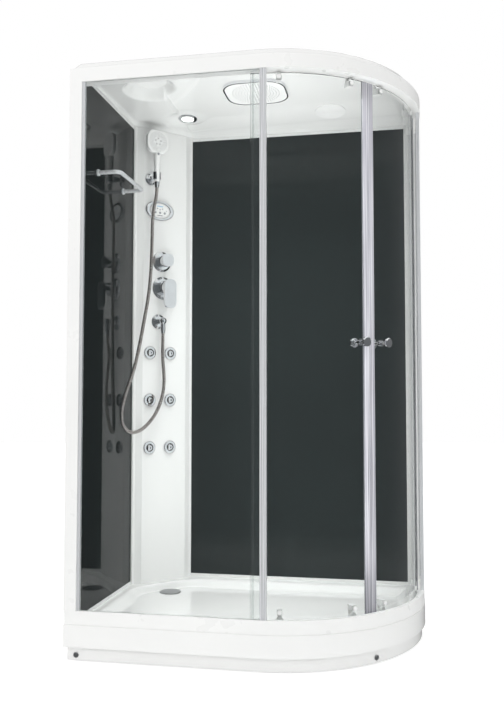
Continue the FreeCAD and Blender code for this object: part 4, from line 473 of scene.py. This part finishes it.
# plated pieces that look satin rather than polished
LOOKS = {"towel_bar": "aluminium", "drain_cover": "steel"}
for part in frame["record"]["subparts"]:
    for spot in nodes[part["node"]].material_slots:
        spot.material = finishes[LOOKS.get(part["node"], part["material_slot"])]

# ---------------------------------------------------------------- ceiling

# pairs of x and y: where the ceiling starts to fall towards the rear wall, and the step behind
REAR_CREASE = [(-600, 345), (-380, 345), (-360, 333), (-297, 282), (-174, 216), (-63, 185),
               (46, 152), (148, 137), (247, 134), (422, 144), (490, 158), (600, 190)]
REAR_STEP = [(-600, 330), (-341, 325), (-197, 318), (24, 297), (234, 284), (600, 276)]
# how far it falls from the crease to the step, and from there to the step's end
REAR_FALL, STEP_FALL = 11.5, 10
STEP_END = CABIN_REAR - 11
REAR_SOFT = 2.5
# the shifts over which a line through listed points is averaged
SMOOTHING = (-60, -30, 0, 30, 60)
# the dished corner: a round edge about this centre, straight edges this far inside the walls
SCOOP_CENTRE = (-966.0, -587.0)
SCOOP_RADIUS = 872.0
SCOOP_BORDER = 47.0
# how far inside these edges it reaches its full height, and how it rises
SCOOP_ARC_RUN, SCOOP_WALL_RUN = 115, 70
SCOOP_SOFT = 0.25
SCOOP_SHAPE = 2.2
# the coves along the left wall, the rails and the column: where each starts and ends
LEFT_COVE, OPEN_COVE, COLUMN_COVE = (28, 48), (58, 105), (17, 70)
COVE_SHAPE = 0.8
COVE_SOFT = 4
# the plain slope at the rear, which the lamp and the speaker are seated on
SLOPE_START, SLOPE_FALL = 146.0, 21 / 245
# the fittings, and over what stretch round two of them the ceiling eases back to its own height
FAN = (-398.0, -135.0)
SPEAKER = (250.0, 210.0)
LAMP = (-339.0, 190.0)
GRILLE_RADIUS, LAMP_SEAT_RADIUS = 62.5, 42.0
FAN_EASE, LAMP_EASE = 40, 60
# the roof's sheet: where its two faces start inside the outline, and the upper one's steep edge
ROOF_SHEET = 5.0
ROOF_INSET, CEILING_INSET = 8, 13
ROOF_STEEPNESS = 1.43
FOOT_GAP = 0.3


def soft_line(points, x):
    """A smooth line through listed points: the broken line, averaged over a short stretch."""
    xs, ys = zip(*points)
    return sum(np.interp(x + shift, xs, ys) for shift in SMOOTHING) / len(SMOOTHING)


def scoop_height(x, y):
    """How much the dished corner rises above the ceiling."""
    from_arc = SCOOP_RADIUS - np.hypot(x - SCOOP_CENTRE[0], y - SCOOP_CENTRE[1])
    from_wall = x - CABIN_LEFT - SCOOP_BORDER
    from_front = y - CABIN_FRONT - SCOOP_BORDER
    inside = lesser(from_arc / SCOOP_ARC_RUN, from_wall / SCOOP_WALL_RUN, SCOOP_SOFT)
    inside = lesser(inside, from_front / SCOOP_WALL_RUN, SCOOP_SOFT)
    return (SCOOP_CEILING - CEILING) * (1 - (1 - np.clip(inside, 0, 1)) ** SCOOP_SHAPE)


def slope_height(y):
    """The height of the plain slope at the rear."""
    return CEILING - (y - SLOPE_START) * SLOPE_FALL


def seated(height, x, y, centre, radius, run, seat):
    """Brings the ceiling to a fitting's seat; beyond its radius it eases back over the run."""
    away = np.hypot(x - centre[0], y - centre[1])
    return height + (seat - height) * (1 - eased((away - radius) / run))


def ceiling_height(x, y):
    """The ceiling's lower face."""
    side, back, open_side = insets(x, y)
    height = CEILING + scoop_height(x, y)
    crease, step = soft_line(REAR_CREASE, x), soft_line(REAR_STEP, x)
    fall = REAR_FALL * np.clip((y - crease) / (step - crease), -0.2, 1)
    fall = fall + STEP_FALL * eased((y - step) / (STEP_END - step))
    height = lesser(height, CEILING - fall, REAR_SOFT)
    from_column = (x - COLUMN_START.x) * DIAGONAL - (y - COLUMN_START.y) * DIAGONAL
    coves = ((side, LEFT_COVE), (open_side, OPEN_COVE), (from_column, COLUMN_COVE))
    for away, (start, stop) in coves:
        rise = np.clip((away - start) / (stop - start), 0, 3)
        cove = ROOF_FOOT + (CEILING - ROOF_FOOT) * rise ** COVE_SHAPE
        height = lesser(height, cove, COVE_SOFT)
    height = seated(height, x, y, LAMP, LAMP_SEAT_RADIUS, LAMP_EASE, slope_height(y))
    height = seated(height, x, y, FAN, GRILLE_RADIUS, FAN_EASE, SCOOP_CEILING)
    return np.maximum(height, ROOF_FOOT + FOOT_GAP)


def roof_height(x, y):
    """The roof's upper face."""
    side, back, open_side = insets(x, y)
    rise = scoop_height(x, y)
    fall = np.where(rise > 0, 0, np.clip(y - SLOPE_START, 0, None) * SLOPE_FALL)
    edge = np.minimum(np.minimum(side, back), open_side) - ROOF_INSET
    return np.minimum(CEILING + ROOF_SHEET + rise - fall, ROOF_FOOT + edge * ROOF_STEEPNESS)


def moulded_roof():
    """The roof's acrylic sheet: the soft ceiling below and the plain back above."""
    x, y = plan_grid(CEILING_INSET, CEILING_INSET, CEILING_INSET)
    lower = np.stack((x, y, ceiling_height(x, y)), axis=-1)
    x, y = plan_grid(ROOF_INSET, ROOF_INSET, ROOF_INSET)
    upper = np.stack((x, y, roof_height(x, y)), axis=-1)
    rows, columns = min(len(lower), len(upper)), lower.shape[1]
    count = rows * columns
    faces = grid_faces(rows, columns, turned_over=True)
    faces += grid_faces(rows, columns, first=count)
    rim = grid_rim(rows, columns)
    faces += [(a, b, b + count, a + count) for a, b in zip(rim, rim[1:] + rim[:1])]
    mesh = bpy.data.meshes.new("moulded_roof")
    points = np.concatenate((lower[:rows].reshape(-1, 3), upper[:rows].reshape(-1, 3))) / 1000
    mesh.from_pydata(points.tolist(), [], faces)
    mesh.update()
    return mesh


roof = mesh_object("moulded_roof", moulded_roof(), finishes["white_acrylic"])
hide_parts("roof_shell")

DOWNWARD = Matrix.Rotation(math.pi, 4, "X")


def ceiling_place(x, y, up, tilt=0.0):
    """The matrix of a fitting under the ceiling, drawn in millimetres, its z downwards."""
    lean = Matrix.Rotation(-tilt, 4, "X")
    return Matrix.Translation(Vector((x, y, up)) / 1000) @ lean @ DOWNWARD @ Matrix.Scale(0.001, 4)


GRILLE_FACE, GRILLE_BORDER = 3.9, 8
GROOVES, GROOVE_PITCH = 9, 5.5
# one groove: how far inwards and how deep its four corners are
GROOVE_FORM = ((0, 0), (0.3, 0.7), (1.3, 0.7), (1.6, 0))


def round_grille(name, place):
    """A white disc with fine ring grooves over a round fitting of the ceiling."""
    profile = [(GRILLE_RADIUS, -SUNK), (GRILLE_RADIUS, GRILLE_FACE - 0.8),
               (GRILLE_RADIUS - 1.2, GRILLE_FACE)]
    for groove in range(GROOVES):
        outer = GRILLE_RADIUS - GRILLE_BORDER - groove * GROOVE_PITCH
        profile += [(outer - inwards, GRILLE_FACE - deep) for inwards, deep in GROOVE_FORM]
    mesh = rings_mesh(name, turned(profile))
    mesh.transform(place)
    mesh_object(name, mesh, finishes["white_plastic"], smooth=False)


round_grille("fan_grille", ceiling_place(*FAN, SCOOP_CEILING))
round_grille("speaker_grille", ceiling_place(*SPEAKER, slope_height(SPEAKER[1]),
                                             math.atan(SLOPE_FALL)))

RAIN_CENTRE = (-10.0, -38.0)
RAIN_FACE = 2029.0
# rings of nozzles, each with six more than the one inside it
RAIN_RINGS, RAIN_PITCH, RAIN_DOT = 8, 11, 1.8
rain_dots = [disc(spot, RAIN_DOT) for ring in range(1, RAIN_RINGS + 1)
             for spot in ring_of(ring * RAIN_PITCH, ring * 6)]
raised("rain_nozzles", rain_dots, 0.8, ceiling_place(*RAIN_CENTRE, RAIN_FACE),
       finishes["soft_grey"])

# ---------------------------------------------------------------- column fittings

# the hand shower's head: across the column, above the floor, and its face in front of its axis
HEAD_ACROSS, HEAD_UP = 70, 1944
HOLDER_REACH, HEAD_FACE = 58, 10.4
NOZZLES, NOZZLE_CIRCLE, NOZZLE_RADIUS = 5, 13, 2.9
DOT_RINGS, DOT_CIRCLE, DOT_PITCH, DOT_RADIUS = 4, 23, 5.5, 1.3
FIRST_RING_DOTS, MORE_DOTS = 20, 5
# the control panel's face
PANEL_ACROSS, PANEL_UP, PANEL_FACE = 111, 1671, 9.6


def shower_face():
    """The nozzles in the middle of the hand shower's head, and rings of dots round them."""
    place = column_place(HEAD_ACROSS, HEAD_UP, COLUMN_FACE + HOLDER_REACH + HEAD_FACE)
    nozzles = [disc(spot, NOZZLE_RADIUS, 14) for spot in ring_of(NOZZLE_CIRCLE, NOZZLES)]
    dots = [disc(spot, DOT_RADIUS, 8) for ring in range(DOT_RINGS)
            for spot in ring_of(DOT_CIRCLE + DOT_PITCH * ring, FIRST_RING_DOTS + MORE_DOTS * ring)]
    for name, outlines, height in (("shower_nozzles", nozzles, 0.9), ("shower_dots", dots, 0.5)):
        raised(name, outlines, height, place, finishes["soft_grey"],
               body="hand_shower")


def panel_print():
    """The control panel's sheet with its line, bar, icons and dash."""
    icons = [disc(spot, 2.6, 6) for spot in ((-12, 8), (12, 8), (0, 4))] + [disc((31, 1), 1.6)]
    # name, outlines, height, finish and slot
    marks = (("panel_line", [oval(43, 28)], 0.15, "grey_plastic", "grey_plastic"),
             ("panel_sheet", [oval(42.2, 27.2)], 0.25, "white_plastic", "white_plastic"),
             ("panel_bar", [bar((0, 18), 28, 4.5)], 0.4, "pale_blue", "grey_plastic"),
             ("panel_icons", icons, 0.4, "soft_grey", "grey_plastic"),
             ("panel_dash", [bar((0, -21), 24, 2.4)], 0.4, "dark_plastic", "dark_plastic"))
    place = column_place(PANEL_ACROSS, PANEL_UP, COLUMN_FACE + PANEL_FACE)
    for name, outlines, height, finish, slot in marks:
        raised(name, outlines, height, place, finishes[finish])


shower_face()
panel_print()

# ---------------------------------------------------------------- basin

DRAIN, DRAIN_HOLE = (-406.0, 201.0), 38
# the basin's rear left corner is cut off by this much, softly, inside a rim of this width
CUT_CORNER, CUT_SOFT = 208.0, 40
RIM_WIDTH = 55.0
# the basin's walls slope over this width at the drain, and over this much more away from it
WALL_RUN, MORE_RUN = 9, 45
DRAIN_NEAR, DRAIN_EASE = 60, 160
# where the skin starts inside the left wall, the rear and the rails, and its height off the tray
SKIN_INSETS = (28, 9, 40)
SKIN_HEIGHT = 0.25


def basin_skin():
    """The basin's soft walls: a sheet that lies on the tray's rim and floor."""
    x, y = plan_grid(*SKIN_INSETS)
    side, back, open_side = insets(x, y)
    from_cut = (side + back - 2 * RIM_WIDTH - CUT_CORNER) * DIAGONAL
    inside = np.minimum(np.minimum(side, back), open_side) - RIM_WIDTH
    inside = lesser(inside, from_cut, CUT_SOFT)
    drain_away = np.hypot(x - DRAIN[0], y - DRAIN[1])
    width = WALL_RUN + MORE_RUN * eased((drain_away - DRAIN_NEAR) / DRAIN_EASE)
    height = TRAY_RIM - (TRAY_RIM - BASIN_FLOOR) * eased(inside / width) + SKIN_HEIGHT
    mesh = bpy.data.meshes.new("basin_skin")
    points = np.stack((x, y, height), axis=-1).reshape(-1, 3) / 1000
    keep = drain_away[:-1, :-1] > DRAIN_HOLE
    mesh.from_pydata(points.tolist(), [], grid_faces(*x.shape, keep=keep))
    mesh.update()
    return mesh


mesh_object("basin_skin", basin_skin(), finishes["white_acrylic"])

# ---------------------------------------------------------------- shower hose

# metres: the hose, the pitch of its ribs and how far its skin draws in over one rib
HOSE_RADIUS = 0.007
HOSE_RIB = 0.0026
RIB_FORM = (0.0007, 0.00015, 0.0, 0.00015)
HOSE_SIDES = 16
# millimetres across the column, out of it and above the floor
HOSE_ROUTE = [
    (70, 74.83, 1752),
    (70, 74.83, 1722),
    (58, 62, 1645),
    (56, 63, 1530),
    (50, 67, 1400),
    (36, 73, 1292),
    (15, 82, 1206),
    (-9, 92, 1103),
    (-33, 102, 1020),
    (-60, 113, 950),
    (-88, 123, 890),
    (-108, 130, 826),
    (-99, 124, 768),
    (-54, 108, 737),
    (6, 92, 752),
    (62, 79, 802),
    (98, 69, 860),
    (117, 61, 925),
    (119, 55, 985),
    (114, 50, 1050),
    (110, 60.83, 1118.1),
    (110, 60.83, 1148.1),
]


def hose_line():
    """Points close together along the smooth curve of the hose."""
    line = bpy.data.curves.new("hose_line", "CURVE")
    line.dimensions = "3D"
    spline = line.splines.new("NURBS")
    spline.points.add(len(HOSE_ROUTE) - 1)
    for point, (across, out, up) in zip(spline.points, HOSE_ROUTE):
        point.co = (*on_column(across, out, up), 1)
    spline.order_u = 3
    spline.use_endpoint_u = True
    line.resolution_u = 32
    holder = bpy.data.objects.new("hose_line", line)
    mesh = bpy.data.meshes.new_from_object(holder)
    points = np.array([point.co for point in mesh.vertices])
    bpy.data.objects.remove(holder)
    bpy.data.meshes.remove(mesh)
    return points


def hose_finish():
    """Wound stainless strip with a warm tint that drifts at random."""
    made = Finish("hose_metal", (0.66, 0.61, 0.59), Metallic=1.0)
    made.tint(made.noise(260, 3), (0.70, 0.655, 0.63), (0.56, 0.50, 0.475))
    made.polish(made.noise(420, 4), 0.2, 0.34)
    made.relief(made.noise(1500, 2), 0.00002)
    return made.material


def hose_rings(centre):
    """Rings of points round the hose's middle, drawn in between its ribs."""
    ahead = np.gradient(centre, axis=0)
    ahead /= np.linalg.norm(ahead, axis=1)[:, None]
    angles = np.arange(HOSE_SIDES) * 2 * math.pi / HOSE_SIDES
    side = np.array((1.0, 0.0, 0.0))
    rings = []
    for step, (middle, way) in enumerate(zip(centre, ahead)):
        side = side - way * side.dot(way)
        side /= np.linalg.norm(side)
        third = np.cross(way, side)
        radius = HOSE_RADIUS - RIB_FORM[step % len(RIB_FORM)]
        rings.append([middle + radius * (side * math.cos(a) + third * math.sin(a))
                      for a in angles])
    return rings


def ribbed_hose():
    """The shower hose: a ribbed tube along a smooth curve, in place of the model's own hose."""
    spots = hose_line()
    steps = np.linalg.norm(np.diff(spots, axis=0), axis=1)
    along = np.concatenate(([0], np.cumsum(steps)))
    length = along[-1]
    count = int(length / HOSE_RIB) * len(RIB_FORM)
    places = np.linspace(0, length, count + 1)
    centre = np.stack([np.interp(places, along, spots[:, axis]) for axis in range(3)], axis=1)
    piece = bpy.data.objects.new("ribbed_hose", rings_mesh("ribbed_hose", hose_rings(centre)))
    bpy.context.scene.collection.objects.link(piece)
    piece.data.materials.append(hose_finish())
    for face in piece.data.polygons:
        face.use_smooth = True
    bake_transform(piece)
    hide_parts("shower_hose")


ribbed_hose()

# ---------------------------------------------------------------- floor and lights

FLOOR_RADIUS, FLOOR_GLOW = 14, 0.42
# places, targets, widths and heights in metres, power in watts, spread in degrees
LIGHTS = (
    ("key", (-2.4, -3.6, 3.6), (0, 0, 1.0), 2.6, 2.6, 30, 180),
    ("inside", (0.0, -0.34, 1.1), (-0.1, 0.4, 1.1), 0.9, 1.6, 8.0, 180),
    ("upward", (0.05, -0.05, 0.6), (0.05, -0.05, 2.0), 0.7, 0.5, 3.2, 75),
    ("downward", (0.05, -0.05, 1.9), (0.05, -0.05, 0.1), 0.7, 0.5, 4.6, 75),
)
# the direction of the bright window, and how squarely it must be faced to show at all and fully
WINDOW = (0.95, -0.31, 0.0)
WINDOW_EDGE, WINDOW_FULL = 0.8, 0.92
WINDOW_TONE = (0.9, 0.91, 0.92, 1)
# the room turns from dim to bright between these two, where 0 is straight down and 1 straight up
DIM_END, BRIGHT_START = 0.72, 0.9
DIM_TONE, BRIGHT_TONE = (0.15, 0.155, 0.16, 1), (0.95, 0.95, 0.95, 1)


def studio_floor():
    """A plain pale floor that doesn't show in mirrors or through glass."""
    mesh = bpy.data.meshes.new("floor")
    form = bmesh.new()
    bmesh.ops.create_circle(form, cap_ends=True, segments=96, radius=FLOOR_RADIUS)
    form.to_mesh(mesh)
    form.free()
    floor = bpy.data.objects.new("floor", mesh)
    bpy.context.scene.collection.objects.link(floor)
    made = Finish("studio_floor", (0.8, 0.8, 0.8), Emission_Color=(1, 1, 1, 1),
                  Emission_Strength=FLOOR_GLOW)
    made.tint(made.noise(0.8, 2), (0.80, 0.80, 0.80), (0.79, 0.79, 0.79))
    made.polish(made.noise(3, 3), 0.6, 0.7)
    mesh.materials.append(made.material)
    floor.visible_glossy = False
    floor.visible_transmission = False


def soft_light(name, spot, target, width, height, power, spread):
    """A soft box that lights the object without showing in its glass."""
    lamp = bpy.data.lights.new(name, "AREA")
    lamp.shape = "RECTANGLE"
    lamp.size = width
    lamp.size_y = height
    lamp.energy = power
    lamp.spread = math.radians(spread)
    holder = bpy.data.objects.new(name, lamp)
    bpy.context.scene.collection.objects.link(holder)
    holder.location = spot
    holder.rotation_euler = (Vector(target) - Vector(spot)).to_track_quat("-Z", "Y").to_euler()
    holder.visible_glossy = False
    holder.visible_transmission = False


def math_node(tree, operation, first, second):
    """A node of arithmetic on one socket and either a number or another socket."""
    made = tree.nodes.new("ShaderNodeMath")
    made.operation = operation
    tree.links.new(first, made.inputs[0])
    if isinstance(second, float):
        made.inputs[1].default_value = second
    else:
        tree.links.new(second, made.inputs[1])
    return made.outputs["Value"]


def bright_window(tree, place):
    """How much of the window shows in a direction."""
    facing = tree.nodes.new("ShaderNodeVectorMath")
    facing.operation = "DOT_PRODUCT"
    facing.inputs[1].default_value = WINDOW
    tree.links.new(place, facing.inputs[0])
    window = tree.nodes.new("ShaderNodeMapRange")
    window.inputs["From Min"].default_value = WINDOW_EDGE
    window.inputs["From Max"].default_value = WINDOW_FULL
    tree.links.new(facing.outputs["Value"], window.inputs["Value"])
    # it shows only after more than one pane of glass; each has two faces
    path = tree.nodes.new("ShaderNodeLightPath")
    past_pane = math_node(tree, "GREATER_THAN", path.outputs["Transmission Depth"], 2.5)
    return math_node(tree, "MULTIPLY", window.outputs["Result"], past_pane)


def room_tone(tree):
    """What mirrors see: a dim room that is bright overhead, with a window on the right."""
    place = tree.nodes.new("ShaderNodeTexCoord").outputs["Generated"]
    split = tree.nodes.new("ShaderNodeSeparateXYZ")
    tree.links.new(place, split.inputs["Vector"])
    shift = tree.nodes.new("ShaderNodeMapRange")
    shift.inputs["From Min"].default_value = -1
    tree.links.new(split.outputs["Z"], shift.inputs["Value"])
    ramp = tree.nodes.new("ShaderNodeValToRGB")
    for element, spot, tone in zip(ramp.color_ramp.elements, (DIM_END, BRIGHT_START),
                                   (DIM_TONE, BRIGHT_TONE)):
        element.position = spot
        element.color = tone
    tree.links.new(shift.outputs["Result"], ramp.inputs["Fac"])
    lit = tree.nodes.new("ShaderNodeMix")
    lit.data_type = "RGBA"
    lit.inputs["B"].default_value = WINDOW_TONE
    tree.links.new(bright_window(tree, place), lit.inputs["Factor"])
    tree.links.new(ramp.outputs["Color"], lit.inputs["A"])
    return lit.outputs["Result"]


def studio_world():
    """White all round, except for what mirrors see."""
    world = bpy.data.worlds.new("studio")
    world.use_nodes = True
    bpy.context.scene.world = world
    tree = world.node_tree
    room = tree.nodes["Background"]
    tree.links.new(room_tone(tree), room.inputs["Color"])
    backdrop = tree.nodes.new("ShaderNodeBackground")
    backdrop.inputs["Color"].default_value = (1, 1, 1, 1)
    path = tree.nodes.new("ShaderNodeLightPath")
    mirrored = math_node(tree, "GREATER_THAN", path.outputs["Glossy Depth"], 0.5)
    mix = tree.nodes.new("ShaderNodeMixShader")
    tree.links.new(mirrored, mix.inputs["Fac"])
    tree.links.new(backdrop.outputs["Background"], mix.inputs[1])
    tree.links.new(room.outputs["Background"], mix.inputs[2])
    tree.links.new(mix.outputs["Shader"], tree.nodes["World Output"].inputs["Surface"])


bpy.context.scene.view_settings.view_transform = "Standard"
studio_floor()
studio_world()
for light in LIGHTS:
    soft_light(*light)
